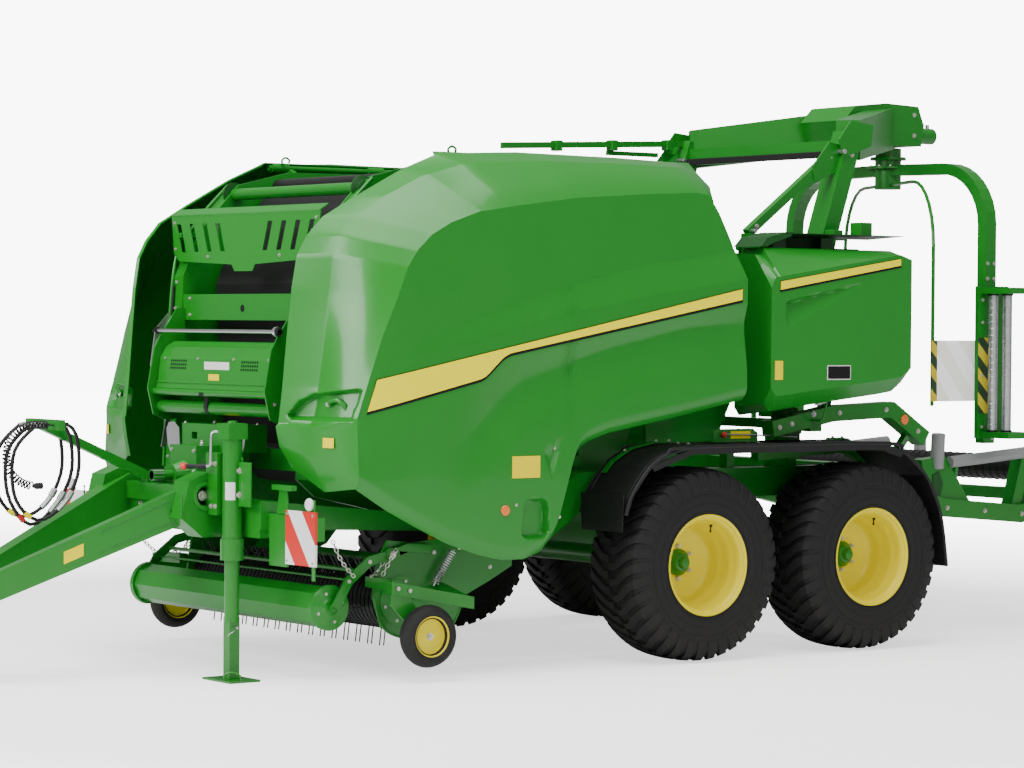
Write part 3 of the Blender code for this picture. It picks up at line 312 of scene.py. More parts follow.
def slab(outline, plane, low, high, holes=()):
    """A flat outline in the YZ, XZ or XY plane, given thickness across it."""
    curve = bpy.data.curves.new("outline", "CURVE")
    curve.dimensions = "2D"
    curve.fill_mode = "BOTH"
    curve.extrude = abs(high - low) / 2
    for ring in (outline, *holes):
        spline = curve.splines.new("POLY")
        spline.points.add(len(ring) - 1)
        for point, (p, q) in zip(spline.points, ring):
            point.co = (p, q, 0, 1)
        spline.use_cyclic_u = True
    item = bpy.data.objects.new("outline", curve)
    bpy.context.scene.collection.objects.link(item)
    bpy.context.view_layer.update()
    mesh = bpy.data.meshes.new_from_object(item.evaluated_get(bpy.context.evaluated_depsgraph_get()))
    bpy.data.objects.remove(item, do_unlink=True)
    bpy.data.curves.remove(curve)
    bm = bmesh.new()
    bm.from_mesh(mesh)
    bpy.data.meshes.remove(mesh)
    bmesh.ops.remove_doubles(bm, verts=bm.verts, dist=0.00001)
    middle = (low + high) / 2 * (-1 if plane is XZ else 1)
    bmesh.ops.translate(bm, vec=(0, 0, middle), verts=bm.verts)
    bmesh.ops.transform(bm, matrix=plane, verts=bm.verts)
    return bm


def strip(path, width):
    points = [Vector(p) for p in path]
    left, right = [], []
    for i, point in enumerate(points):
        ins = (point - points[i - 1]).normalized() if i else None
        out = (points[i + 1] - point).normalized() if i < len(points) - 1 else None
        ins, out = ins or out, out or ins
        normal = Vector((-(ins + out).y, (ins + out).x)).normalized()
        reach = width / 2 / max(0.4, normal.dot(Vector((-ins.y, ins.x))))
        left.append(tuple(point + normal * reach))
        right.append(tuple(point - normal * reach))
    return left + right[::-1]


def band(path, width, plane, low, high):
    return slab(strip(path, width), plane, low, high)


def arc(centre, radius, start_deg, end_deg, count):
    steps = [start_deg + (end_deg - start_deg) * i / (count - 1) for i in range(count)]
    return [(centre[0] + radius * math.cos(math.radians(a)),
        centre[1] + radius * math.sin(math.radians(a))) for a in steps]


def ring_of(count, radius, start=0.0):
    """Evenly spaced pairs round a circle."""
    turns = (math.radians(start) + 2 * math.pi * k / count for k in range(count))
    return [(radius * math.cos(a), radius * math.sin(a)) for a in turns]


def lathe(profile, centre, steps=64, axis="X"):
    """A closed profile of (radius, offset) pairs turned about an axis."""
    bm = bmesh.new()
    rings = []
    for r, offset in profile:
        if r < 1e-5:
            rings.append([bm.verts.new((offset, 0, 0))])
        else:
            rings.append([bm.verts.new((offset, r * math.cos(a), r * math.sin(a)))
                for a in (2 * math.pi * k / steps for k in range(steps))])
    for first, second in zip(rings, rings[1:]):
        for k in range(steps):
            j = (k + 1) % steps
            corners = [first[k % len(first)], first[j % len(first)], second[j % len(second)],
                second[k % len(second)]]
            unique = []
            for v in corners:
                if v not in unique:
                    unique.append(v)
            if len(unique) > 2:
                bm.faces.new(unique)
    bmesh.ops.remove_doubles(bm, verts=bm.verts, dist=0.00001)
    turn = {"X": Matrix.Identity(4), "Y": Matrix.Rotation(math.pi / 2, 4, "Z"),
        "Z": Matrix.Rotation(-math.pi / 2, 4, "Y")}[axis]
    bmesh.ops.transform(bm, matrix=Matrix.Translation(centre) @ turn, verts=bm.verts)
    return bm


def merged(*parts):
    bm = bmesh.new()
    for part in parts:
        mesh = bpy.data.meshes.new("part")
        part.to_mesh(mesh)
        part.free()
        bm.from_mesh(mesh)
        bpy.data.meshes.remove(mesh)
    return bm


def bolt(place, normal, size=0.011, sides=6):
    """A hexagon head on a washer."""
    place, normal = Vector(place), Vector(normal).normalized()
    return merged(rod(place, place + normal * size * 0.25, size * 1.35, 14),
        rod(place + normal * size * 0.2, place + normal * size * 0.95, size, sides),
        rod(place + normal * size * 0.9, place + normal * size * 1.3, size * 0.5, 10))


def flipped(bm):
    bmesh.ops.scale(bm, vec=(-1, 1, 1), verts=bm.verts)
    bmesh.ops.reverse_faces(bm, faces=bm.faces)
    return bm


def both(bm):
    return merged(bm.copy(), flipped(bm))


def shifted_half(bm):
    """The shape turned half round the wrapping rotor's axis."""
    half = Matrix.Translation((0, ROTOR_Y, 0)) @ Matrix.Rotation(math.pi, 4, "Z")
    bmesh.ops.transform(bm, matrix=half @ Matrix.Translation((0, -ROTOR_Y, 0)), verts=bm.verts)
    return bm


def piece(name, paint, parts, body="frame", slot="usual", bevel=0.0, smooth=32, side=1, replaces=()):
    """One object from closed shapes given in axle coordinates."""
    bm = merged(*parts) if isinstance(parts, (list, tuple)) else parts
    if side < 0:
        flipped(bm)
    bmesh.ops.translate(bm, vec=(0, AXLE_Y, 0), verts=bm.verts)
    bmesh.ops.recalc_face_normals(bm, faces=bm.faces)
    mesh = bpy.data.meshes.new(name)
    bm.to_mesh(mesh)
    bm.free()
    item = bpy.data.objects.new(name, mesh)
    bpy.context.scene.collection.objects.link(item)
    mesh.materials.append(M[paint])
    shade(item, smooth, bevel)
    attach(item, body)
    if slot == "usual":
        slot = SLOTS.get(paint)
    if replaces:
        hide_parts(*replaces)
    return item


def pair(name, paint, parts, body="frame", slot="usual", **finish):
    """A piece on each side; the right one is the left one mirrored."""
    for hand, sign in SIDES:
        copies = [part.copy() for part in parts]
        piece(f"{name}_{hand}", paint, copies, body, slot, side=sign, **finish)


def rotor_pair(name, paint, parts, **finish):
    """A piece on each leg of the wrapping rotor, half a turn apart."""
    copies = [shifted_half(part.copy()) for part in parts]
    piece(name + "_left", paint, parts, "rotor", **finish)
    piece(name + "_right", paint, copies, "rotor", **finish)


def shade(item, smooth=32, bevel=0.0, segments=2):
    mesh = item.data
    mesh.polygons.foreach_set("use_smooth", [True] * len(mesh.polygons))
    mesh.set_sharp_from_angle(angle=math.radians(smooth))
    if bevel:
        edge = item.modifiers.new("edge", "BEVEL")
        edge.width = bevel
        edge.segments = segments
        edge.limit_method = "ANGLE"
        edge.angle_limit = math.radians(35)
        edge.harden_normals = True


def smooth_path(points, count):
    """Evenly spaced places on a curve through the points."""
    points = [Vector(p) for p in points]
    ends = [points[0], *points, points[-1]]
    fine = []
    for a, b, c, d in zip(ends, ends[1:], ends[2:], ends[3:]):
        for k in range(12):
            t = k / 12
            fine.append(0.5 * (2 * b + (c - a) * t + (2 * a - 5 * b + 4 * c - d) * t * t
                + (3 * b - a - 3 * c + d) * t ** 3))
    fine.append(points[-1])
    length = [0.0]
    for p, q in zip(fine, fine[1:]):
        length.append(length[-1] + (q - p).length)
    even, k = [], 0
    for i in range(count):
        want = length[-1] * i / (count - 1)
        while k < len(fine) - 2 and length[k + 1] < want:
            k += 1
        part = (want - length[k]) / max(1e-9, length[k + 1] - length[k])
        even.append(fine[k].lerp(fine[k + 1], min(1, part)))
    return even


def length_of(path):
    return sum((Vector(q) - Vector(p)).length for p, q in zip(path, path[1:]))


def at(table, value):
    """Straight interpolation in a table of pairs."""
    if value <= table[0][0]:
        return table[0][1]
    for (a, p), (b, q) in zip(table, table[1:]):
        if value <= b:
            return p + (q - p) * (value - a) / (b - a)
    return table[-1][1]


def step(low, high, value):
    t = min(1.0, max(0.0, (value - low) / (high - low)))
    return t * t * (3 - 2 * t)


camera()
studio()


# Cords: three hoses and the curled cable

HOSE_DROPS = {"hose_right": (-0.22, 0.0), "hose_middle": (-0.1, 0.04), "hose_left": (-0.02, 0.01)}


def hose_run(x, drop):
    places = [(-3.67, 1.43), (-3.73, 1.41), (-3.85, 1.27), (-3.84, 1.02), (-3.7, 0.9 - drop),
        (-3.54, 0.97), (-3.44, 1.15), (-3.45, 1.36), (-3.51, 1.43), (-3.56, 1.43)]
    run = smooth_path([(x, y, z) for y, z in places], 32)
    return [Vector((x, -3.6403, run[0].z)), *run, Vector((x, -3.5997, run[-1].z))]


for hose_name, (hose_x, hose_drop) in HOSE_DROPS.items():
    run = hose_run(hose_x, hose_drop)
    sleeve = piece(hose_name + "_rubber", "rubber", tube(run, 0.011, 14), replaces=(hose_name,))
    coupler = piece(hose_name + "_coupler", "steel",
        [tube(run[19:22], 0.0165, 18), tube(run[21:23], 0.0205, 18), tube(run[1:3], 0.015, 6)],
        bevel=0.001)
    paint = "red" if hose_name == "hose_middle" else "stripe"
    tag = piece(hose_name + "_tag", paint, [tube(run[14:16], 0.015, 16)])


def curled_cable():
    """The curled cable's turns, wound along the plain tube's line."""
    places = [(-3.67, 1.43), (-3.78, 1.43), (-3.88, 1.39), (-3.93, 1.31), (-3.93, 1.2), (-3.86, 1.12),
        (-3.78, 1.09)]
    run = smooth_path([(0.06, y, z) for y, z in places], 200)
    turns, coil, wire = 30, 0.0215, 0.0045
    path = []
    count = turns * 14
    for i in range(count + 1):
        t = i / count * (len(run) - 1)
        k = min(int(t), len(run) - 2)
        point = run[k].lerp(run[k + 1], t - k)
        along = (run[k + 1] - run[k]).normalized()
        side = Vector((1, 0, 0))
        other = along.cross(side)
        grow = min(1.0, i / 10)
        angle = 2 * math.pi * turns * i / count
        path.append(point + (side * math.cos(angle) + other * math.sin(angle)) * coil * grow)
    return path, wire


run, wire = curled_cable()
run = [Vector((0.06, -3.6403, 1.43))] + run
cable = piece("coil_cable_turns", "rubber", tube(run, wire, 8), replaces=("coil_cable",))
tail = run[-1]
plug = piece("cable_plug", "plastic",
    [lathe([(0, 0), (0.01, 0), (0.012, 0.012), (0.019, 0.02), (0.019, 0.058), (0.0165, 0.06),
    (0.0165, 0.05), (0, 0.05), (0, 0)], (tail.x, tail.y - 0.004, tail.z), 24, "Y")])


# Carried-over CAD nodes get their finish and softened edges

FINISH = [
    ("green", 0.001, "film_rack_left film_rack_right"),
    ("green", 0.002, "jack_leg bale_chamber net_tray guard_arms"),
    ("green", 0.003, "jack_column pickup_frame film_unit_left film_unit_right hose_holder"),
    ("green", 0.004, "chassis bogie wrap_rotor"),
    ("green", 0.005, "drawbar wrap_table"),
    ("green", 0.006, "gearbox wrapper_frame"),
    ("green", 0.007, "gantry"),
    ("green_body", 0.001, "net_cover"),
    ("green_body", 0.0015, "front_grille"),
    ("green_body", 0.004, "guard_roller"),
    ("green_body", 0.01, "tailgate"),
    # the decks take the green paint darkened as painted shade
    ("green_painted_shade", 0.001, "deck_left deck_right"),
    ("belt", 0.0, "belts"),
    ("black", 0.003, "top_roller"),
    ("black", 0.004, "table_roller_front table_roller_rear"),
    ("steel", 0.002, "net_lever"),
    ("flap", 0.0, "safety_flap_left safety_flap_right"),
    ("hazard", 0.001, "hazard_plate_left"),
    ("hazard_right", 0.001, "hazard_plate_right"),
    ("plastic", 0.004, "fender_left fender_right"),
]
for paint, edge, names in FINISH:
    for name in names.split():
        NODES[name].data.materials.clear()
        NODES[name].data.materials.append(M[paint])
        shade(NODES[name], 34, edge)


# Wheels

def tyre_mesh():
    r = 0.566
    outer = [(0.292, -0.213), (0.3, -0.222), (0.315, -0.226), (0.33, -0.2335), (0.36, -0.235),
        (0.4, -0.235), (0.45, -0.2325), (0.5, -0.225), (0.53, -0.212), (0.549, -0.188), (0.56, -0.14),
        (r, -0.07), (r + 0.001, 0.0)]
    profile = outer + [(a, -b) for a, b in outer[-2::-1]]
    profile += [(0.2853, 0.2), (0.2853, -0.2), outer[0]]
    shell = lathe(profile, (0, 0, 0), 96)
    lugs = [shell]
    table = [(0.0, r + 0.001), (0.07, r), (0.14, 0.56), (0.188, 0.549), (0.212, 0.53), (0.226, 0.498),
        (0.232, 0.455)]
    run = [(0.006, 0.0, 0.0185), (0.05, 0.004, 0.0185), (0.085, 0.04, 0.0185), (0.12, 0.085, 0.019),
        (0.16, 0.13, 0.0195), (0.198, 0.16, 0.0185), (0.22, 0.176, 0.015), (0.2325, 0.19, 0.004)]
    count = 38
    for sign in (1, -1):
        for k in range(count):
            start = 2 * math.pi * (k + (0.5 if sign < 0 else 0)) / count
            rings = []
            for across, turn, height in run:
                base = at(table, across)
                wide = 0.031 if across > 0.06 else 0.024
                ring = []
                for edge, rise in ((-1, -0.004), (1, -0.004), (0.86, height), (-0.86, height)):
                    a = start + turn + edge * wide / base
                    rad = base + rise
                    ring.append((sign * across * (1 + 0.012 * (rise > 0)), -rad * math.cos(a),
                        rad * math.sin(a)))
                rings.append(ring)
            lugs.append(loft(rings))
    for radius, offset in ((0.322, 0.2335), (0.372, 0.2362), (0.425, 0.2352)):
        for sign in (1, -1):
            lugs.append(tube([(sign * (offset - 0.001), p, q) for p, q in ring_of(80, radius)], 0.0022,
                6, closed=True))
    return merged(*lugs)


def rim_mesh():
    profile = [(0.0, -0.066), (0.098, -0.066), (0.15, -0.058), (0.2, -0.052), (0.222, -0.04),
        (0.232, -0.02), (0.2335, 0.02), (0.236, 0.04), (0.246, 0.058), (0.25, 0.075), (0.251, 0.11),
        (0.253, 0.128), (0.262, 0.142), (0.2665, 0.16), (0.268, 0.19), (0.276, 0.206), (0.29, 0.215),
        (0.3, 0.22), (0.305, 0.223), (0.306, 0.2265), (0.303, 0.229), (0.296, 0.227), (0.288, 0.2225),
        (0.285, 0.215)]
    inner = [(0.285, -0.215), (0.29, -0.22), (0.272, -0.218), (0.256, -0.19), (0.244, -0.105),
        (0.226, -0.08), (0.098, -0.09), (0.0, -0.09)]
    return lathe(profile + inner + [profile[0]], (0, 0, 0), 72)


def hub_mesh():
    profile = [(0.0, -0.064), (0.08, -0.064), (0.0805, -0.05), (0.074, -0.046), (0.066, -0.04),
        (0.06, -0.022), (0.052, -0.012), (0.036, -0.01), (0.0345, -0.006), (0.0335, 0.012),
        (0.03, 0.017), (0.012, 0.02), (0.0, 0.0205)]
    back = [(0.0, -0.214), (0.087, -0.214), (0.087, -0.085), (0.0, -0.085), (0.0, -0.214)]
    return merged(lathe(profile + [profile[0]], (0, 0, 0), 40), lathe(back, (0, 0, 0), 32))


def wheel_bolts():
    parts = []
    for p, q in ring_of(6, 0.1, 30):
        place = Vector((-0.067, p, q))
        parts.append(rod(place, place + Vector((0.006, 0, 0)), 0.017, 16, 0.013))
        parts.append(rod(place + Vector((0.005, 0, 0)), place + Vector((0.019, 0, 0)), 0.0125, 6))
        parts.append(rod(place + Vector((0.018, 0, 0)), place + Vector((0.03, 0, 0)), 0.007, 10))
    return merged(*parts)


def valve():
    a = math.radians(66)
    out = Vector((0, math.cos(a), math.sin(a)))
    base = out * 0.256 + Vector((0.128, 0, 0))
    return merged(rod(base, base - out * 0.012, 0.009, 12),
        rod(base - out * 0.01, base - out * 0.04 + Vector((0.012, 0, 0)), 0.0045, 10),
        rod(base - out * 0.036 + Vector((0.01, 0, 0)), base - out * 0.046 + Vector((0.014, 0, 0)),
        0.0065, 10))


def shifted(bm, x, y, z):
    bmesh.ops.translate(bm, vec=(x, y, z), verts=bm.verts)
    return bm


for end, axle in (("front", 0.0), ("rear", TANDEM)):
    for hand, sign in SIDES:
        place = (WHEEL_X, axle, WHEEL_Z)
        body = f"wheel_{end}_{hand}"
        tag = f"{end}_{hand}"
        piece("tyre_tread_" + tag, "tyre", shifted(tyre_mesh(), *place), body, smooth=24, side=sign,
            replaces=("tyre_" + tag,))
        piece("rim_dish_" + tag, "yellow", shifted(rim_mesh(), *place), body, smooth=50, side=sign,
            replaces=("rim_" + tag,))
        piece("hub_" + tag, "green", shifted(hub_mesh(), *place), body, smooth=40, side=sign)
        piece("wheel_nuts_" + tag, "zinc", shifted(wheel_bolts(), *place), body, side=sign)
        piece("valve_" + tag, "rubber", shifted(valve(), *place), body, side=sign)


def gauge_parts():
    tyre = [(0.112, -0.04), (0.125, -0.056), (0.142, -0.06), (0.16, -0.05), (0.171, -0.03),
        (0.1765, -0.012), (0.178, 0.0)]
    profile = tyre + [(r, -o) for r, o in tyre[-2::-1]] + [(0.1, 0.035), (0.1, -0.035), tyre[0]]
    dish = [(0.0, 0.016), (0.03, 0.016), (0.06, 0.004), (0.092, 0.006), (0.1, 0.02), (0.106, 0.036),
        (0.112, 0.044), (0.116, 0.0445), (0.116, 0.036), (0.104, 0.0), (0.116, -0.036),
        (0.116, -0.0445), (0.106, -0.036), (0.092, -0.01), (0.0, -0.012), (0.0, 0.016)]
    return lathe(profile, (0, 0, 0), 64), lathe(dish, (0, 0, 0), 48)


for hand, sign in SIDES:
    tyre_part, dish_part = gauge_parts()
    body = "gauge_" + hand[0]
    piece("gauge_tyre_" + hand, "tyre", shifted(tyre_part, *GAUGE), body, smooth=40, side=sign,
        replaces=("gauge_wheel_" + hand,))
    piece("gauge_rim_" + hand, "yellow", shifted(dish_part, *GAUGE), body, smooth=40, side=sign)
    piece("gauge_nut_" + hand, "zinc", [bolt((GAUGE[0] + 0.017, *GAUGE[1:]), (1, 0, 0), 0.016)], body,
        side=sign)


# Side doors

ARC = [(-2.48, 1.492), (-2.417, 1.685), (-2.323, 1.954), (-2.226, 2.171), (-2.162, 2.333),
    (-2.097, 2.429), (-1.998, 2.518), (-1.865, 2.589), (-1.664, 2.656), (-1.442, 2.69), (-0.946, 2.755),
    (-0.345, 2.797), (-0.014, 2.812), (0.068, 2.801), (0.15, 2.7), (0.24, 2.541), (0.295, 2.43),
    (0.334, 2.3)]
LOWER = [(-2.48, 1.1), (-2.27, 0.975), (-2.08, 0.88), (-1.85, 0.775), (-1.62, 0.7), (-1.45, 0.665),
    (-1.3, 0.665), (-1.18, 0.705), (-1.09, 0.8), (-1.045, 0.95), (-0.99, 1.16), (-0.935, 1.285),
    (-0.86, 1.335), (-0.7, 1.385), (-0.25, 1.46), (0.334, 1.57)]
BAND_TOP = [(-2.256, 1.82), (-1.867, 1.978), (-1.518, 2.093), (-0.943, 2.251), (-0.421, 2.369),
    (0.242, 2.46), (0.34, 2.47)]
BAND_LOW = [(-2.256, 1.8), (-1.867, 1.899), (-1.517, 1.977), (-0.942, 2.098), (-0.339, 2.203),
    (0.244, 2.285), (0.34, 2.3)]
STRIPE_TOP = [(-2.361, 1.704), (0.295, 2.24)]
STRIPE_LOW = [(-2.42, 1.527), (-1.655, 1.706), (-1.62, 1.722), (-1.5, 1.828), (-1.45, 1.852),
    (0.288, 2.174)]
VALLEY = [(-1.9, 1.28), (-1.792, 1.334), (-1.654, 1.445), (-1.514, 1.565), (-1.401, 1.679),
    (-1.229, 1.739), (-0.74, 1.878), (-0.131, 2.006), (0.247, 2.034), (0.34, 2.04)]
SIDE_X = 1.43


def soft_table(table, value, reach=0.05):
    return (at(table, value - reach) + at(table, value) + at(table, value + reach)) / 3


def side_x(y, z):
    """Reach of the side door's outer face at a place on its side."""
    top, low = soft_table(BAND_TOP, y), soft_table(BAND_LOW, y)
    inset = 0.058 * step(-2.3, 0.2, y) ** 0.8
    if z >= top:
        dent = inset
    elif z > low:
        dent = inset * (z - low) / (top - low)
    else:
        dent = 0.0
    valley = soft_table(VALLEY, y, 0.08)
    stripe = at(STRIPE_LOW, y) - 0.02
    deep = 0.034 * step(-1.95, -1.45, y)
    if valley < z < stripe:
        dent += deep * (stripe - z) / (stripe - valley)
    elif z <= valley:
        dent += deep * (1 - step(0, 0.34, valley - z))
    floor_z = soft_table(LOWER, y, 0.02)
    lip = max(0.0, 1 - (z - floor_z) / 0.085)
    dent += 0.045 * lip * lip
    dent += 0.02 * max(0.0, (1.15 - z) / 0.5)
    dent += 0.05 * pocket(y, z)
    dent += 0.02 * corner_dent(y, z)
    front = max(0.0, -2.1 - y)
    dent += 0.06 * front * front / 0.14 * step(1.0, 1.5, z) * 0.4
    return SIDE_X - dent


def pocket(y, z):
    """Share of depth in the hand hole."""
    dy, dz = abs(y + 1.25), abs(z - 0.9)
    dy += 0.06 * (z - 0.9)
    corner = 0.045
    qy, qz = dy - (0.085 - corner), dz - (0.105 - corner)
    gap = math.hypot(max(qy, 0), max(qz, 0)) + min(max(qy, qz), 0) - corner
    return 1 - step(-0.008, 0.014, gap)


def corner_dent(y, z):
    a, b, c = (-1.215, 1.285), (-1.055, 1.35), (-1.145, 1.135)
    depth = 1.0
    for (py, pz), (qy, qz) in ((a, b), (b, c), (c, a)):
        normal = Vector((qz - pz, -(qy - py))).normalized()
        depth = min(depth, ((y - py) * normal.x + (z - pz) * normal.y) / 0.03)
    return max(0.0, min(1.0, depth))


BEVEL = [
    # face edge, soft ridge, outer edge
    ((1.405, -2.48, 1.1), (1.18, -2.545, 1.075), (0.93, -2.6, 1.2)),
    ((1.42, -2.48, 1.29), (1.11, -2.59, 1.26), (0.88, -2.655, 1.32)),
    ((1.418, -2.48, 1.46), (1.085, -2.6, 1.432), (0.872, -2.675, 1.432)),
    ((1.416, -2.48, 1.492), (1.085, -2.575, 1.452), (0.88, -2.662, 1.452)),
    ((1.416, -2.417, 1.685), (1.085, -2.53, 1.66), (0.885, -2.64, 1.66)),
    ((1.416, -2.323, 1.954), (1.085, -2.49, 1.96), (0.89, -2.615, 1.96)),
    ((1.412, -2.226, 2.171), (1.085, -2.455, 2.2), (0.898, -2.59, 2.22)),
    ((1.41, -2.162, 2.333), (1.082, -2.43, 2.4), (0.902, -2.56, 2.4)),
    ((1.408, -2.097, 2.429), (1.08, -2.39, 2.52), (0.908, -2.5, 2.51)),
    ((1.405, -1.998, 2.518), (1.08, -2.29, 2.62), (0.92, -2.4, 2.62)),
    ((1.402, -1.865, 2.589), (1.09, -2.08, 2.745), (0.932, -2.2, 2.735)),
    ((1.4, -1.664, 2.656), (1.11, -1.83, 2.87), (0.95, -1.88, 2.905)),
    ((1.398, -1.442, 2.69), (1.13, -1.56, 2.945), (0.972, -1.64, 3.005)),
    ((1.392, -0.946, 2.755), (1.15, -1.0, 2.975), (0.99, -1.1, 3.03)),
    ((1.386, -0.345, 2.797), (1.15, -0.35, 2.98), (0.99, -0.35, 3.025)),
    ((1.384, -0.014, 2.812), (1.15, 0.02, 2.972), (0.992, 0.02, 3.015)),
    ((1.384, 0.068, 2.801), (1.16, 0.16, 2.935), (1.0, 0.19, 2.985)),
    ((1.384, 0.11, 2.755), (1.19, 0.23, 2.86), (1.01, 0.285, 2.945)),
]


RECESS = [(0.075, 1.478), (0.86, 1.478), (0.9, 1.5), (0.8, 1.575), (0.66, 1.615), (0.1, 1.65),
    (0.05, 1.64)]


def recess(share, z):
    """Depth share of the latch recess in the front bevel; share runs across the bevel."""
    gap = 1.0
    for (a, p), (b, q) in zip(RECESS, RECESS[1:] + RECESS[:1]):
        along = Vector(((b - a) * 0.56, q - p)).normalized()
        gap = min(gap, (z - p) * along.x - (share - a) * 0.56 * along.y)
    return step(-0.01, 0.018, gap)


def spaced(a, b, count):
    return [a + (b - a) * i / count for i in range(count)]


def grid_of(bm, rows):
    for a, b in zip(rows, rows[1:]):
        for i in range(len(a) - 1):
            face = [a[i], a[i + 1], b[i + 1], b[i]]
            unique = []
            for v in face:
                if v not in unique:
                    unique.append(v)
            if len(unique) > 2:
                bm.faces.new(unique)


def door_surface():
    bm = bmesh.new()
    stations = spaced(-2.48, -1.39, 70) + spaced(-1.39, -1.1, 46) + spaced(-1.1, 0.334, 96)
    grid = []
    for y in stations + [0.334]:
        low, top = at(LOWER, y), at(ARC, y)
        near = step(-1.62, -1.39, y) * (1 - step(-1.1, -0.95, y))
        line = []
        for j in range(111):
            t = j / 110
            even, dense = low + (top - low) * t, at([(0, low), (0.42, 1.06), (1, top)], t)
            z = even + (dense - even) * near
            line.append(bm.verts.new((side_x(y, z), y, z)))
        grid.append(line)
    grid_of(bm, grid)
    knots = len(BEVEL) - 1
    out = Vector((0.72, -0.69, 0))
    grid = []
    turns = [i / 9 for i in range(18)] + spaced(2, 3, 6) + spaced(3, 4, 34)
    turns += [i / 9 for i in range(36, knots * 9 + 1)]
    for t in turns:
        k = min(int(t), knots - 1)
        part = t - k
        first, ridge, edge = (Vector(p).lerp(Vector(q), part) for p, q in zip(BEVEL[k], BEVEL[k + 1]))
        first.x = side_x(first.y, max(first.z, 1.11))
        line = []
        for j in range(57):
            v = j / 56
            bend = 35 / 56
            if v < bend:
                point = first.lerp(ridge, v / bend)
                point += out * (0.03 * math.sin(math.pi * v / bend) * step(0, 3, t))
            else:
                point = ridge.lerp(edge, (v - bend) / (1 - bend))
            if t < 6:
                point -= out * 0.055 * recess(v, point.z)
            line.append(bm.verts.new(point))
        lip = edge + Vector((-0.02, 0.01, 0.0)) if t < 12 else Vector((0.915, edge.y, 3.018))
        line.append(bm.verts.new(lip))
        grid.append(line)
    grid_of(bm, grid)
    bmesh.ops.remove_doubles(bm, verts=bm.verts, dist=0.004)
    return bm


def solidified(bm, thickness):
    """A closed shell from an open surface, thickened inwards."""
    bmesh.ops.recalc_face_normals(bm, faces=bm.faces)
    mesh = bpy.data.meshes.new("shell")
    bm.to_mesh(mesh)
    bm.free()
    item = bpy.data.objects.new("shell", mesh)
    bpy.context.scene.collection.objects.link(item)
    wall = item.modifiers.new("wall", "SOLIDIFY")
    wall.thickness = thickness
    wall.offset = -1
    bpy.context.view_layer.update()
    solid = bpy.data.meshes.new_from_object(item.evaluated_get(bpy.context.evaluated_depsgraph_get()))
    bpy.data.objects.remove(item, do_unlink=True)
    bpy.data.meshes.remove(mesh)
    bm = bmesh.new()
    bm.from_mesh(solid)
    bpy.data.meshes.remove(solid)
    return bm


def outward(bm):
    """Faces of an open panel turned to look away from the machine's middle."""
    bmesh.ops.recalc_face_normals(bm, faces=bm.faces)
    total = sum((f.normal.x * f.calc_area() for f in bm.faces))
    if total < 0:
        bmesh.ops.reverse_faces(bm, faces=bm.faces)
    return bm


def thick_patch(points_out, lift, depth=0.002):
    """A thin closed sheet through a grid of surface points, standing proud by lift."""
    bm = bmesh.new()
    outer = [[bm.verts.new((x + lift, y, z)) for x, y, z in line] for line in points_out]
    inner = [[bm.verts.new((x + lift - depth, y, z)) for x, y, z in line] for line in points_out]
    grid_of(bm, outer)
    grid_of(bm, inner)
    n, m = len(outer), len(outer[0])
    ring = [(i, 0) for i in range(n)] + [(n - 1, j) for j in range(1, m)]
    ring += [(i, m - 1) for i in range(n - 2, -1, -1)] + [(0, j) for j in range(m - 2, 0, -1)]
    for (a, b), (c, d) in zip(ring, ring[1:] + ring[:1]):
        bm.faces.new((outer[a][b], outer[c][d], inner[c][d], inner[a][b]))
    return bm


def stripe_patch(grow_low, grow_top, lift, reach, first=0.0):
    lines = []
    for i in range(141):
        c = i / 140
        yt = STRIPE_TOP[0][0] - first + (0.29 + first + reach - STRIPE_TOP[0][0]) * c
        yb = STRIPE_LOW[0][0] - first + (0.288 + first + reach - STRIPE_LOW[0][0]) * c
        top = STRIPE_TOP[0][1] + (yt - STRIPE_TOP[0][0]) * 0.2018 + grow_top
        low = (at(STRIPE_LOW, yb) if yb > STRIPE_LOW[0][0]
            else STRIPE_LOW[0][1] + (yb - STRIPE_LOW[0][0]) * 0.23) - grow_low
        line = []
        for j in range(7):
            w = j / 6
            y, z = yb + (yt - yb) * w, low + (top - low) * w
            line.append((side_x(max(y, -2.475), z), y, z))
        lines.append(line)
    return thick_patch(lines, lift)


def patch_on(func, y0, y1, z0, z1, lift, n=5):
    lines = [[(func(y0 + (y1 - y0) * i / n, z0 + (z1 - z0) * j / n), y0 + (y1 - y0) * i / n,
        z0 + (z1 - z0) * j / n) for j in range(n + 1)] for i in range(n + 1)]
    return thick_patch(lines, lift)


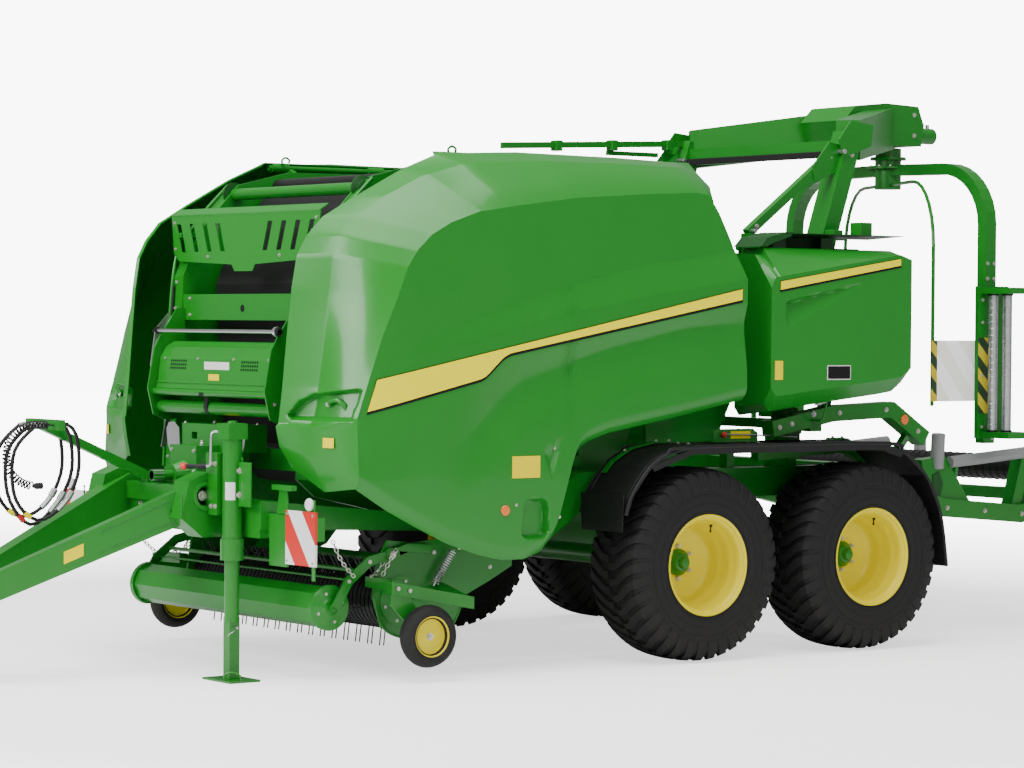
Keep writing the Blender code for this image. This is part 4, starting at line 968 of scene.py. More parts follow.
for hand, sign in SIDES:
    body = "side_door_" + hand[0]
    shell = solidified(outward(door_surface()), 0.008)
    piece("door_skin_" + hand, "green_body", shell, body, smooth=26, side=sign,
        replaces=("side_door_" + hand,))
    piece("door_stripe_" + hand, "stripe", stripe_patch(0.0, 0.0, 0.0042, 0.0), body, "yellow_paint",
        side=sign)
    piece("door_stripe_edge_" + hand, "decal_black", stripe_patch(0.016, 0.004, 0.003, 0.004, 0.004),
        body, side=sign)
    piece("door_sticker_" + hand, "sticker", patch_on(side_x, -1.432, -1.232, 1.137, 1.263, 0.003),
        body, "yellow_paint", side=sign)
    normal = Vector((0.334, -0.942, 0))
    flat = Vector((0.942, 0.334, 0))
    spot = Vector((1.235, -2.546, 1.352)) + normal * 0.0185
    corners = [spot + flat * (0.038 * i) + Vector((0, 0, 0.028 * j))
        for i, j in ((-1, -1), (1, -1), (1, 1), (-1, 1))]
    piece("front_sticker_" + hand, "sticker", loft([corners, [p + normal * 0.0015 for p in corners]]),
        body, side=sign)
    x = side_x(-1.473, 0.954)
    piece("door_reflector_" + hand, "orange",
        lathe([(0, 0), (0.03, 0), (0.03, 0.006), (0.027, 0.0095), (0.0, 0.0115), (0, 0)],
        (x - 0.001, -1.473, 0.954), 32), body, side=sign)
    bolts = [bolt((side_x(y, z) - 0.002, y, z), (1, 0, 0), 0.008)
        for y, z in ((-1.118, 1.305), (-1.075, 0.905), (-1.395, 0.985))]
    bolts.append(bolt((1.165, -2.515, 1.565), (0.7, -0.7, 0.1), 0.012))
    piece("door_bolts_" + hand, "zinc", bolts, body, side=sign)
    latch = tube([(1.255, -2.43, 1.5), (1.275, -2.455, 1.52), (1.27, -2.475, 1.56), (1.235, -2.5, 1.59),
        (1.19, -2.512, 1.585), (1.165, -2.512, 1.565)], 0.016, 12)
    piece("door_latch_" + hand, "green",
        [latch, lathe([(0, 0), (0.032, 0), (0.03, 0.012), (0, 0.014), (0, 0)], (1.165, -2.5, 1.565), 20,
        "Y")], body, side=sign)


# Film box covers

def film_side(y, z):
    """Reach of a film cover's outer face."""
    a, v, c, tip = (0.665, 2.178), (0.662, 2.15), (0.655, 2.0), (1.33, 2.298)
    dent = 0.0
    if a[0] - 0.012 < y < tip[0]:
        t = max(0.0, (y - a[0]) / (tip[0] - a[0]))
        upper = a[1] + (tip[1] - a[1]) * t
        deep = v[1] + (tip[1] - v[1]) * t
        lower = c[1] + (tip[1] - c[1]) * t
        depth = 0.046 * (1 - t) * step(a[0] - 0.012, a[0] + 0.004, y)
        if deep < z < upper:
            dent = depth * (upper - z) / (upper - deep)
        elif lower < z <= deep:
            dent = depth * (z - lower) / (deep - lower)
    return 1.425 - dent


def film_low(y):
    return at([(0.53, 1.64), (0.575, 1.59), (1.5, 1.688), (1.62, 1.705), (1.7, 1.76)], y)


def film_top(y):
    return at([(0.53, 2.25), (0.56, 2.314), (1.6, 2.47), (1.7, 2.44)], y)


def film_surface():
    bm = bmesh.new()
    columns, rows = 100, 70
    side = []
    for i in range(columns + 1):
        y = 0.53 + 1.17 * i / columns
        low, top = film_low(y), film_top(y)
        side.append([bm.verts.new((film_side(y, low + (top - low) * j / rows), y,
            low + (top - low) * j / rows)) for j in range(rows + 1)])
    grid_of(bm, side)
    roof, under = [], []
    for i in range(columns + 1):
        y = 0.53 + 1.17 * i / columns
        lean = 0.1 * (1 - step(0.53, 0.8, y))
        top = side[i][-1].co
        crown = Vector((1.22, y + lean * 0.4, min(2.5, 2.455 + 0.05 * (y > 0.6))))
        inner = Vector((0.965, y + lean, 2.5 - 0.03 * (y < 0.6)))
        roof.append([side[i][-1]] + [bm.verts.new(top.lerp(crown, t)) for t in (0.34, 0.67, 1)]
            + [bm.verts.new(crown.lerp(inner, t)) for t in (0.5, 1)])
        low = side[i][0].co
        foot = Vector((1.33, y + lean * 0.2, low.z - 0.095))
        inside = Vector((0.965, y + lean, low.z - 0.13))
        under.append([side[i][0]] + [bm.verts.new(low.lerp(foot, t)) for t in (0.5, 1)]
            + [bm.verts.new(foot.lerp(inside, t)) for t in (0.5, 1)])
    grid_of(bm, roof)
    grid_of(bm, under)
    for index in (0, columns):
        ring = [v.co.copy() for v in under[index][::-1]]
        ring += [v.co.copy() for v in side[index][1:]] + [v.co.copy() for v in roof[index][1:]]
        border = under[index][::-1] + side[index][1:] + roof[index][1:]
        lines = [border]
        for t in (0.5, 1.0):
            line = []
            for p in ring:
                keep = 1 - t
                q = Vector((0.965 + (p.x - 0.965) * keep, p.y, p.z))
                fall = (p.x - q.x) / 0.46
                q.y = ring[0].y + (p.y - ring[0].y) * keep if index == 0 else p.y + 0.02 * fall
                line.append(bm.verts.new(q))
            lines.append(line)
        grid_of(bm, lines)
    bmesh.ops.remove_doubles(bm, verts=bm.verts, dist=0.0015)
    bmesh.ops.dissolve_degenerate(bm, dist=0.0005, edges=bm.edges)
    return bm


for hand, sign in SIDES:
    body = "film_door_" + hand[0]
    shell = solidified(outward(film_surface()), 0.006)
    piece("film_cover_" + hand, "green_body", shell, body, smooth=24, side=sign,
        replaces=("film_door_" + hand,))
    for name, paint_name, slot_name, low, top, lift, grow in (("stripe", "stripe", "yellow_paint", 0.0,
            0.0, 0.004, 0.0), ("stripe_edge", "decal_black", "black_paint", 0.014, 0.003, 0.0028,
            0.003)):
        lines = []
        for i in range(41):
            y = 0.6 - grow + (1.002 + 2 * grow) * i / 40
            z1 = 2.289 + (y - 0.596) * 0.1545 + top
            z0 = 2.238 + (y - 0.594) * 0.1635 - low
            lines.append([(film_side(y, z0 + (z1 - z0) * j / 3), y, z0 + (z1 - z0) * j / 3)
                for j in range(4)])
        piece(f"film_{name}_{hand}", paint_name, thick_patch(lines, lift), body, slot_name, side=sign)
    piece("film_sticker_" + hand, "sticker", patch_on(film_side, 0.56, 0.624, 1.69, 1.806, 0.003), body,
        "yellow_paint", side=sign)
    piece("film_plate_" + hand, "decal_black", patch_on(film_side, 0.994, 1.178, 1.694, 1.772, 0.0036),
        body, side=sign)
    piece("film_plate_edge_" + hand, "label", patch_on(film_side, 0.988, 1.184, 1.688, 1.778, 0.0026),
        body, side=sign)

# Small fittings

def spring(a, b, radius, wire, turns):
    a, b = Vector(a), Vector(b)
    along = (b - a).normalized()
    side = along.orthogonal().normalized()
    other = along.cross(side)
    count = turns * 12
    coil = [a.lerp(b, i / count)
        + (side * math.cos(2 * math.pi * i / 12) + other * math.sin(2 * math.pi * i / 12)) * radius
        for i in range(count + 1)]
    return tube(coil, wire, 6)


def chain(places, link=0.034, wire=0.0032):
    """Chain links along a path, each turned a quarter from the last."""
    count = max(2, int(length_of(places) / (link * 0.72)))
    run = smooth_path(places, count + 1)
    links = []
    for i, (a, b) in enumerate(zip(run, run[1:])):
        middle, along = (a + b) / 2, (b - a).normalized()
        side = along.orthogonal().normalized()
        if i % 2:
            side = along.cross(side)
        half, wide = link / 2 - wire, link * 0.27
        ring = []
        for k in range(16):
            t = 2 * math.pi * k / 16
            stretch = half - wide
            ring.append(middle + along * (math.cos(t) * wide + math.copysign(stretch, math.cos(t)))
                + side * math.sin(t) * wide)
        links.append(tube(ring, wire, 6, closed=True))
    return merged(*links)


def bead(a, b, radius=0.006):
    """A weld bead: a thin wavy round bar laid along a joint."""
    a, b = Vector(a), Vector(b)
    count = max(6, int((b - a).length / 0.008))
    return tube([a.lerp(b, i / count) for i in range(count + 1)],
        lambda t: radius * (0.82 + 0.22 * math.sin(t * count * 1.3)), 8)


def bolts_at(places, normal, size=0.011):
    return merged(*[bolt(p, normal, size) for p in places])


def loop(places, radius, count=24, sides=10):
    return tube(smooth_path(places, count), radius, sides)


# Fenders and the frame beside them
FENDER = [(-0.62, 0.9), (-0.575, 1.02), (-0.44, 1.18), (-0.3, 1.255), (-0.12, 1.29), (1.42, 1.29),
    (1.6, 1.235), (1.8, 1.08), (1.93, 0.84), (1.99, 0.5)]
edge_run = smooth_path([(1.461, y, z) for y, z in FENDER], 70)
inner_run = smooth_path([(1.026, y, z) for y, z in FENDER], 70)
pair("fender_edge", "plastic", [tube(edge_run, 0.0125, 12), tube(inner_run, 0.009, 10)])
ribs = [tube(smooth_path([(x, y, z + 0.004) for y, z in FENDER], 60), 0.005, 8) for x in (1.06, 1.43)]
pair("fender_ribs", "plastic", ribs)
flap = slab([(1.05, 0.8), (1.44, 0.8), (1.452, 1.02), (1.04, 1.02)], XZ, -0.632, -0.626)
pair("mud_flap", "rubber", [flap], slot="black_plastic", bevel=0.002)
strap = band([(-0.5, 1.135), (-0.44, 1.2), (-0.3, 1.275), (-0.12, 1.31), (0.02, 1.31)], 0.01, YZ, 1.075,
    1.115)
cap = band([(1.3, 1.31), (1.42, 1.31), (1.6, 1.255), (1.72, 1.165)], 0.01, YZ, 1.075, 1.115)
pair("fender_straps", "green", [strap, cap], bevel=0.0015)
seats = [(1.095, y, z) for y, z in ((-0.34, 1.262), (-0.1, 1.315), (0.0, 1.315), (1.34, 1.315),
    (1.42, 1.314))]
seats += [(x, y, 1.2965) for y in (0.1, 0.66) for x in (1.06, 1.16)]
pair("fender_bolts", "zinc", [bolts_at(seats, (0, 0, 1), 0.009)])
plate = slab([(0.3, 1.31), (0.3, 1.37), (0.34, 1.385), (0.62, 1.385), (0.66, 1.36), (0.66, 1.31)], YZ,
    1.15, 1.157)
tray = box(1.085, 1.155, 0.3, 0.66, 1.303, 1.309)
pair("control_plate", "green", [plate, tray], bevel=0.001)
pair("control_label", "sticker", [box(1.1572, 1.1582, 0.44, 0.6, 1.325, 1.37)])
pair("control_knob", "red",
    [lathe([(0, 0), (0.012, 0), (0.017, 0.01), (0.017, 0.022), (0.01, 0.028), (0, 0.029), (0, 0)],
    (1.157, 0.375, 1.35), 20)])
lever = loop([(1.165, 0.4, 1.352), (1.175, 0.55, 1.348), (1.172, 0.8, 1.336), (1.16, 0.98, 1.325)],
    0.005, 16, 8)
pair("control_rod", "steel", [lever])
# Frame rails: bolts, weld seams, a marker lamp and its mount
rail = [(0.9205, y, z) for y, z in ((-2.66, 0.9), (-2.58, 0.9), (-1.2, 0.86), (-1.1, 0.86), (0.02, 1.0),
    (0.1, 1.0), (0.62, 1.0), (0.7, 1.0), (1.2, 1.02), (1.6, 1.02), (1.96, 1.02))]
pair("rail_bolts", "zinc", [bolts_at(rail, (1, 0, 0), 0.011)])
seams = [bead((0.83, -0.52, 1.136), (0.83, 1.98, 1.136), 0.005),
    bead((0.92, -2.61, 0.86), (0.92, -2.61, 1.0), 0.006)]
pair("rail_seams", "weld", seams)
hub_bolts = [(0.9105, y + dy, WHEEL_Z + dz) for y in (0, TANDEM)
    for dy, dz in ((-0.09, 0.05), (0.09, 0.05), (-0.09, -0.05), (0.09, -0.05))]
hub_bolts += [(0.9105, TANDEM / 2 + dy, 0.86) for dy in (-0.05, 0.05)]
pair("bogie_bolts", "zinc", [bolts_at(hub_bolts, (1, 0, 0), 0.012)])
sign_bolts = [(1.4, -2.7665, 0.7), (1.14, -2.7665, 0.7), (1.4, -2.7665, 0.96), (1.14, -2.7665, 0.96)]
pair("sign_bolts", "zinc", [bolts_at(sign_bolts, (0, -1, 0), 0.006)])
lamp = lathe([(0, 0), (0.034, 0), (0.036, -0.01), (0.03, -0.018), (0, -0.022), (0, 0)],
    (1.352, -2.752, 1.02), 28, "Y")
pair("marker_lamp", "lamp", [lamp])
pair("marker_mount", "green", [box(1.31, 1.395, -2.752, -2.744, 0.93, 1.045)], bevel=0.001)

# Jack
piece("jack_crank", "steel",
    [loop([(0.668, -2.9, 1.4), (0.65, -2.925, 1.402), (0.636, -2.943, 1.398), (0.63, -2.95, 1.38),
    (0.628, -2.952, 1.3), (0.626, -2.954, 1.225), (0.62, -2.962, 1.208), (0.6, -2.985, 1.205)], 0.0075,
    30)])
grip = [Vector((0.612, -2.972, 1.205)).lerp(Vector((0.535, -3.055, 1.205)), k / 8) for k in range(9)]
piece("jack_grip", "rubber", [tube(grip, lambda t: 0.0135 + 0.002 * math.sin(9 * t), 16)],
    slot="black_plastic")
piece("jack_knob", "red", [tube([(0.535, -3.055, 1.205), (0.531, -3.06, 1.205), (0.52, -3.071, 1.205),
    (0.512, -3.08, 1.205)], lambda t: 0.0135 + 0.008 * math.sin(math.pi * t), 18)])
piece("jack_bracket", "green",
    [box(0.778, 0.905, -2.862, -2.85, 0.985, 1.235), box(0.6, 0.79, -2.845, -2.835, 1.0, 1.26)],
    bevel=0.003)
piece("jack_bracket_bolts", "zinc",
    [bolts_at([(0.795, -2.8625, z) for z in (1.05, 1.185)], (0, -1, 0), 0.014)])
piece("tee_bracket", "green",
    [slab([(0.965, 1.085), (1.165, 1.085), (1.165, 1.115), (0.965, 1.115)], XZ, -2.76, -2.72),
    slab([(1.02, 1.0853), (1.1, 1.0853), (1.12, 0.952), (1.0, 0.952)], XZ, -2.745, -2.735),
    box(1.365, 1.395, -2.7497, -2.742, 0.6, 0.7)], bevel=0.002)
piece("jack_top", "green",
    [lathe([(0, 0), (0.03, 0), (0.028, 0.012), (0, 0.016), (0, 0)], (0.72, -2.865, 1.45), 24, "Z")])
piece("jack_bolts", "zinc",
    [bolts_at([(0.6, -2.9305, z) for z in (0.98, 1.22)] + [(0.645, -2.9305, z) for z in (0.98, 1.22)],
    (0, -1, 0), 0.011)])
piece("jack_label", "label",
    [slab(arc((0.72, -2.865), 0.0575, -75, -15, 12) + arc((0.72, -2.865), 0.0562, -15, -75, 12), XY,
    1.02, 1.12)])
piece("jack_leg_fittings", "steel",
    [loop([(0.72 - 0.06, -2.865, 0.3), (0.72 + 0.06, -2.865, 0.3)], 0.008, 6),
    loop([(0.78, -2.865, 0.3), (0.8, -2.9, 0.285), (0.79, -2.93, 0.265), (0.77, -2.915, 0.25)], 0.003,
    14, 6)], "jack")
piece("jack_foot_loop", "green",
    [loop([(0.8, -2.955, 0.012), (0.805, -2.96, 0.045), (0.835, -2.93, 0.06), (0.865, -2.9, 0.045),
    (0.865, -2.89, 0.012)], 0.006, 18), bead((0.687, -2.899, 0.016), (0.753, -2.899, 0.016), 0.005),
    bead((0.754, -2.899, 0.016), (0.754, -2.831, 0.016), 0.005)], "jack")

# Drawbar
NEAR_BEAM = (Vector((0.43, -2.9, 1.02)), Vector((0.065, -4.36, 0.41)))


def on_beam(t0, t1, h0, h1, off, thick):
    """A thin plate on the outer side of the drawbar's beam."""
    a, b = NEAR_BEAM
    across = (b - a).cross(Vector((0, 0, 1))).normalized()
    if across.x < 0:
        across = -across
    rings = []
    for t in (t0, t1):
        half = 0.05 + (0.0425 - 0.05) * t
        spot = a.lerp(b, t) + across * (half + off)
        rings.append([spot + Vector((0, 0, h0)), spot + Vector((0, 0, h1)),
            spot + Vector((0, 0, h1)) + across * thick, spot + Vector((0, 0, h0)) + across * thick])
    return loft(rings)


def on_spot(t, height):
    a, b = NEAR_BEAM
    across = (b - a).cross(Vector((0, 0, 1))).normalized()
    across *= math.copysign(1, across.x)
    return a.lerp(b, t) + across * (0.05 + (0.0425 - 0.05) * t) + Vector((0, 0, height))


pair("beam_sticker", "sticker", [on_beam(0.46, 0.535, -0.035, 0.035, 0.0004, 0.0012)])
pair("beam_plate", "decal_black", [on_beam(0.78, 0.9, -0.022, 0.022, 0.0004, 0.002)], slot=None)
a, b = NEAR_BEAM
seams = [bead(a + Vector((0.055, 0, 0.098)), a.lerp(b, 0.1) + Vector((0.055, 0, 0.095))),
    bead((0.562, -3.1, 0.92), (0.562, -3.1, 1.05)), bead((0.562, -2.806, 0.82), (0.562, -2.806, 1.12)),
    bead((0.13, -4.25, 0.445), (0.13, -4.41, 0.445), 0.005)]
pair("drawbar_seams", "weld", seams)
ring = lathe([(0.058, 0), (0.082, 0), (0.08, 0.01), (0.06, 0.012), (0.058, 0)], (0.5602, -2.947, 1.035),
    32)
pivot = [rod((0.44, -2.947, 1.035), (0.53, -2.947, 1.035), 0.028, 24),
    bolt((0.53, -2.947, 1.035), (1, 0, 0), 0.022)]
pair("drawbar_pivot", "zinc", pivot)
pair("beam_label", "decal_black", [on_beam(0.075, 0.125, -0.03, 0.012, 0.0004, 0.002)], slot=None)
lines = []
for h in (0.066, -0.062):
    ends = [on_spot(t, h * (1 - 0.28 * t)) for t in (0.13, 0.4)]
    lines.append(bead(*ends, 0.004))
pair("beam_beads", "weld", lines)
pair("drawbar_collar", "green", [ring])
pair("drawbar_bolts", "zinc",
    [bolts_at([(x, -2.9005, z) for x in (0.1, 0.24) for z in (0.88, 0.955)], (0, -1, 0), 0.013)])
piece("hitch_ring", "steel",
    [lathe([(0.031, 0), (0.052, 0), (0.052, 0.01), (0.031, 0.01), (0.031, 0)], (0, -4.52, 0.4405), 36,
    "Z"), lathe([(0.031, 0), (0.052, 0), (0.052, -0.01), (0.031, -0.01), (0.031, 0)],
    (0, -4.52, 0.3595), 36, "Z")])

# Gearbox and drive shaft
shaft = [lathe([(0.0, 0), (0.026, 0), (0.026, -0.11), (0.0, -0.11), (0.0, 0)], (0, -2.86, 1.13), 24,
    "Y")]
splines = [box(-0.0035, 0.0035, -2.968, -2.9, 0.029, 0.0335) for _ in range(10)]
for k, part in enumerate(splines):
    bmesh.ops.transform(part,
        matrix=Matrix.Translation((0, 0, 1.13)) @ Matrix.Rotation(2 * math.pi * k / 10, 4, "Y"),
        verts=part.verts)
piece("shaft_splines", "steel", shaft + splines)
piece("gearbox_bolts", "zinc",
    [bolts_at([(x, -2.7605, z) for x in (-0.125, 0.125) for z in (1.04, 1.15, 1.27)], (0, -1, 0), 0.01),
    bolts_at([(x, -2.6, 1.42) for x in (-0.24, 0.24)], (0, 0, 1), 0.009),
    bolts_at([(x, -2.4, 1.42) for x in (-0.24, 0.24)], (0, 0, 1), 0.009)])
piece("gearbox_sticker", "sticker", [box(0.02, 0.15, -2.545, -2.475, 1.4203, 1.4214)])
guards = []
for sign in (1, -1):
    path = [(-2.6, 1.25), (-2.66, 1.2), (-2.7, 1.1)]
    guards.append(band(path, 0.004, YZ, *sorted((sign * 0.17, sign * 0.27))))
for sign in (1, -1):
    wing = [(0.3, 1.39), (0.36, 1.425), (0.42, 1.42), (0.445, 1.38), (0.43, 1.3), (0.38, 1.21),
        (0.345, 1.09), (0.29, 1.12), (0.285, 1.22)]
    guards.append(slab([(x * sign, z) for x, z in wing], XZ, -2.612, -2.606))
piece("gearbox_guards", "steel", guards, bevel=0.001)
fins = [box(0.1502, 0.158, -2.74, -2.42, z, z + 0.008) for z in (1.05, 1.09, 1.13, 1.17, 1.21)]
piece("gearbox_fins", "green", [both(merged(*fins))])
piece("gearbox_breather", "zinc",
    [lathe([(0, 0), (0.014, 0), (0.014, 0.014), (0.01, 0.018), (0.01, 0.03), (0, 0.031), (0, 0)],
    (0.08, -2.68, 1.3), 20, "Z")])

# Front of the chamber
COVER = [(1.67, -2.5545), (1.72, -2.5505), (1.8, -2.5405), (1.868, -2.5025)]
# black dots painted on the net cover as the shade inside its perforations
perforation_shade_dots = []
for middle in (-0.42, 0.38):
    for i in range(8):
        for j in range(3):
            x, z = middle + (i - 3.5) * 0.024, 1.742 + j * 0.022
            y = at(COVER, z)
            perforation_shade_dots.append(rod((x, y - 0.0012, z), (x, y + 0.0008, z), 0.0075, 10))
piece("cover_perforations_painted_shade", "decal_black", perforation_shade_dots, "net_lid")
piece("cover_label", "label",
    [box(-0.12, 0.16, at(COVER, 1.76) - 0.0022, at(COVER, 1.76) - 0.0008, 1.738, 1.784)], "net_lid")
piece("cover_sticker", "sticker",
    [box(-0.06, 0.06, at(COVER, 1.69) - 0.0022, at(COVER, 1.69) - 0.0008, 1.675, 1.712)], "net_lid")
piece("cover_bolts", "zinc",
    [bolts_at([(x, at(COVER, 1.8) - 0.001, 1.8) for x in (-0.58, -0.2, 0.2, 0.58)], (0, -1, 0.2),
    0.007)], "net_lid")
tray = []
for sign in (1, -1):
    tray.append(bolts_at([(sign * 0.6642, y, z)
        for y, z in ((-2.4, 1.52), (-2.4, 1.96), (-2.55, 1.55))], (sign, 0, 0), 0.009))
piece("tray_bolts", "zinc", tray)
piece("net_strap", "rubber",
    [band([(-2.545, 1.475), (-2.562, 1.51), (-2.552, 1.6), (-2.5925, 1.602), (-2.5985, 1.58)], 0.003,
    YZ, -0.1, -0.06)])
piece("net_knobs", "decal_black",
    [rod((s * 0.664, -2.545, 1.965), (s * 0.705, -2.545, 1.965), 0.022, 20, 0.018) for s in (1, -1)],
    slot="black_plastic", bevel=0.003)
grill = [bolts_at([(s * x, -2.3565, z) for s in (1, -1)
    for x, z in ((0.79, 2.62), (0.78, 2.46), (0.4, 2.41))], (0, -1, 0), 0.008)]
piece("grille_bolts", "zinc", grill)
piece("grille_spring", "steel",
    [spring((-0.37, -2.325, 2.42), (-0.37, -2.325, 2.62), 0.018, 0.0035, 16)])
piece("grille_lip", "green_body", [tube([(-0.828, -2.355, 2.662), (0.828, -2.355, 2.662)], 0.0045, 10)])
plate_bolts = [(s * 0.6, -2.3605, z) for s in (1, -1) for z in (2.06, 2.16)]
piece("front_plate_bolts", "zinc", [bolts_at(plate_bolts, (0, -1, 0), 0.009)])
# a black disc painted on the front plate as the shade inside its hole
piece("front_hole_painted_shade", "decal_black", [rod((0.0, -2.3612, 2.1), (0.0, -2.3595, 2.1), 0.022, 24)])
wall = [bolts_at([(0.7004, y, z)
    for y, z in ((-2.3, 1.3), (-2.3, 1.6), (-2.28, 1.9), (-2.26, 2.2), (-2.0, 2.6), (-1.9, 1.2),
    (-1.9, 1.6), (-1.9, 2.0), (-1.5, 2.6), (-1.4, 1.3), (-1.0, 2.7), (-0.5, 2.7), (-0.2, 2.5),
    (-0.1, 1.9))], (1, 0, 0), 0.012)]
pair("wall_bolts", "zinc", wall)
bearings = [lathe([(0, 0), (0.075, 0), (0.075, 0.012), (0.045, 0.02), (0.045, 0.036), (0.03, 0.04),
    (0, 0.042), (0, 0)], (0.7004, y, z), 28)
    for y, z in ((-1.99, 2.8), (-2.1, 1.22), (-1.6, 1.1), (-2.12, 1.75), (-2.1, 2.25), (-0.45, 2.8))]
pair("bearings", "green_painted_shade", bearings)
ribs = [slab([(y, 1.16), (y + 0.03, 1.16), (y + 0.03, 2.8), (y, 2.8)], YZ, 0.7003, 0.745)
    for y in (-1.76, -1.14, -0.42)]
pair("wall_ribs", "green", ribs, bevel=0.003)
# A pressed strip and bolt line inside the front edge of the wall
edge = [(-2.425, 1.14), (-2.365, 2.295), (-2.225, 2.6), (-1.98, 2.858)]
fold = tube(smooth_path([(0.795, y, z) for y, z in edge], 40), 0.01, 10)
spots = [bolt((0.755, at([(1.12, -2.4215), (2.29, -2.3615)], z), z), (0, -1, 0), 0.009)
    for z in (1.2, 1.38, 1.56, 1.74, 1.92, 2.1, 2.26)]
pair("front_fold", "green_body", [fold])
pair("front_edge_bolts", "zinc", spots)
hose_a = loop([(0.775, -2.4, 1.16), (0.785, -2.4, 1.5), (0.78, -2.385, 1.9), (0.77, -2.375, 2.24)],
    0.008, 40, 8)
pair("front_pipe", "rubber", [hose_a])
pair("net_side_chain", "zinc",
    [chain([(0.7, -2.43, 1.42), (0.705, -2.46, 1.34), (0.7, -2.44, 1.26)], 0.03, 0.003)])
hinge = [lathe([(0.0205, 0), (0.03, 0), (0.03, 0.12), (0.0205, 0.12), (0.0205, 0)], (0.93, y, 2.9877),
    24, "Y") for y in (-1.58, -0.86, -0.14)]
pair("door_hinges", "green", hinge)
hook = loop([(0.9, -1.5, 2.995), (0.9, -1.52, 3.03), (0.9, -1.495, 3.052), (0.9, -1.465, 3.04),
    (0.9, -1.468, 3.02)], 0.007, 20, 8)
pair("lift_hook", "green", [hook])

# Pickup
pair("pickup_chain", "zinc",
    [chain([(1.115, -2.45, 0.8), (1.12, -2.39, 0.68), (1.1, -2.29, 0.585)]),
    chain([(1.1, -2.1, 0.585), (1.11, -2.06, 0.66), (1.1, -2.0, 0.735)]),
    chain([(1.055, -2.03, 0.7), (1.07, -2.12, 0.6), (1.1, -2.18, 0.585)])], "pickup")
pair("pickup_spring", "steel",
    [spring((1.085, -1.72, 0.53), (1.085, -1.6, 0.7), 0.02, 0.004, 14),
    rod((1.085, -1.735, 0.51), (1.085, -1.59, 0.715), 0.006, 10)], "pickup")
shield = [(-2.115, 0.455), (-2.055, 0.285), (-1.9, 0.215), (-1.74, 0.225), (-1.575, 0.265),
    (-1.48, 0.44)]
pair("pickup_rim", "green_body", [tube(smooth_path([(1.04, y, z) for y, z in shield], 40), 0.007, 8)],
    "pickup")
dish = slab(arc(REEL, 0.145, 0, 352, 40), YZ, 1.0402, 1.046)
pair("pickup_disc", "green_body",
    [dish, lathe([(0, 0), (0.06, 0), (0.056, 0.018), (0.03, 0.026), (0, 0.027), (0, 0)], (1.046, *REEL),
    32)], "pickup")
spots = [bolt((1.0462, REEL[0] + p, REEL[1] + q), (1, 0, 0), 0.007) for p, q in ring_of(6, 0.115, 15)]
spots += [bolt((1.0402, y, z), (1, 0, 0), 0.009)
    for y, z in ((-1.3, 0.6), (-1.3, 0.68), (-1.7, 0.7), (-1.52, 0.72))]
spots += [bolt((1.3352, y, z), (1, 0, 0), 0.009) for y, z in ((-2.15, 0.53), (-2.07, 0.515))]
pair("pickup_bolts", "zinc", spots, "pickup")
arm = slab(strip([(-2.02, 0.7), (-1.9, 0.735), (-1.74, 0.72)], 0.05), YZ, 1.062, 1.07)
pair("pickup_arm", "green_body", [arm], "pickup", bevel=0.002)
pair("guard_disc", "green_body",
    [lathe([(0, 0), (0.1275, 0), (0.13, 0.004), (0.12, 0.01), (0.06, 0.012), (0.045, 0.022),
    (0.03, 0.022), (0, 0.023), (0, 0)], (1.0122, *GUARD), 40)], "wind_roller")
slots = [bolt((1.0235, GUARD[0] + p, GUARD[1] + q), (1, 0, 0), 0.007) for p, q in ring_of(4, 0.085, 20)]
pair("guard_bolts", "zinc", slots, "wind_roller")
pair("guard_nuts", "zinc",
    [bolt((1.0783, y, z), (1, 0, 0), 0.009) for y, z in ((-2.17, 0.665), (-2.31, 0.56))]
    + [bolt((1.085, -2.02, 0.7), (1, 0, 0), 0.016)], "wind_guard")

tines = []
for row in range(5):
    angle = math.radians(-97 + 72 * row)
    out = Vector((0, math.cos(angle), math.sin(angle)))
    for i in range(47):
        if i % 3 == 1:
            continue
        root = Vector(((i - 23) * TINE_PITCH, *REEL)) + out * 0.112
        tines.append(tube([root, root + out * 0.08, root + out * 0.156], 0.004, 6))
tines.append(rod((-0.975, *REEL), (0.975, *REEL), 0.098, 32))
piece("reel_tines", "tine", tines, "reel")
turn = [(-1.64, 0.57)] + arc(REEL, 0.166, 60, 290, 26) + [(-1.65, 0.31)]
bands = [band(turn, 0.005, YZ, x - 0.0155, x + 0.0155)
    for x in ((i - 23.5) * TINE_PITCH for i in range(48))]
bands += [box(-0.975, 0.975, -1.66, -1.6253, 0.545, 0.6),
    box(-0.975, 0.975, -1.665, -1.6403, 0.285, 0.33)]
piece("stripper_strips", "black", bands, "pickup", replaces=("stripper_bands",))

# Wrapper
spots = [bolt((0.8805, y, z), (1, 0, 0), 0.012)
    for y, z in ((1.13, 1.5), (1.2, 1.62), (1.3, 1.85), (1.5, 2.62), (1.68, 3.12))]
spots += [bolt((0.8302, y, z), (1, 0, 0), 0.012) for y, z in ((0.92, 2.645), (1.54, 3.1))]
spots += [bolt((1.2005, y, z), (1, 0, 0), 0.012)
    for y, z in ((0.8, 1.39), (0.9, 1.41), (1.3, 1.475), (1.7, 1.49), (1.98, 1.35))]
pair("wrapper_bolts", "zinc", spots)
plates = [slab([(1.4, 2.94), (1.62, 3.02), (1.66, 3.18), (1.52, 3.2), (1.38, 3.04)], YZ, 0.8303, 0.842),
    slab([(1.6, 3.1), (1.84, 3.18), (1.86, 3.32), (1.66, 3.34), (1.56, 3.22)], YZ, 0.8803, 0.892)]
pair("mast_plates", "green", plates, bevel=0.002)
pins = [rod((0.7, 1.6, 3.14), (0.905, 1.6, 3.14), 0.016, 20),
    rod((0.87, 0.88, 2.615), (0.76, 0.88, 2.615), 0.014, 18)]
pair("mast_pins", "steel", pins, bevel=0.002)
reflect = lathe([(0, 0), (0.032, 0), (0.032, 0.006), (0.027, 0.01), (0, 0.012), (0, 0)],
    (1.2003, 1.86, 1.425), 28)
pair("rear_reflector", "orange", [reflect])
latch = spring((1.3, 1.02, 1.535), (1.3, 1.1, 1.555), 0.014, 0.003, 9)
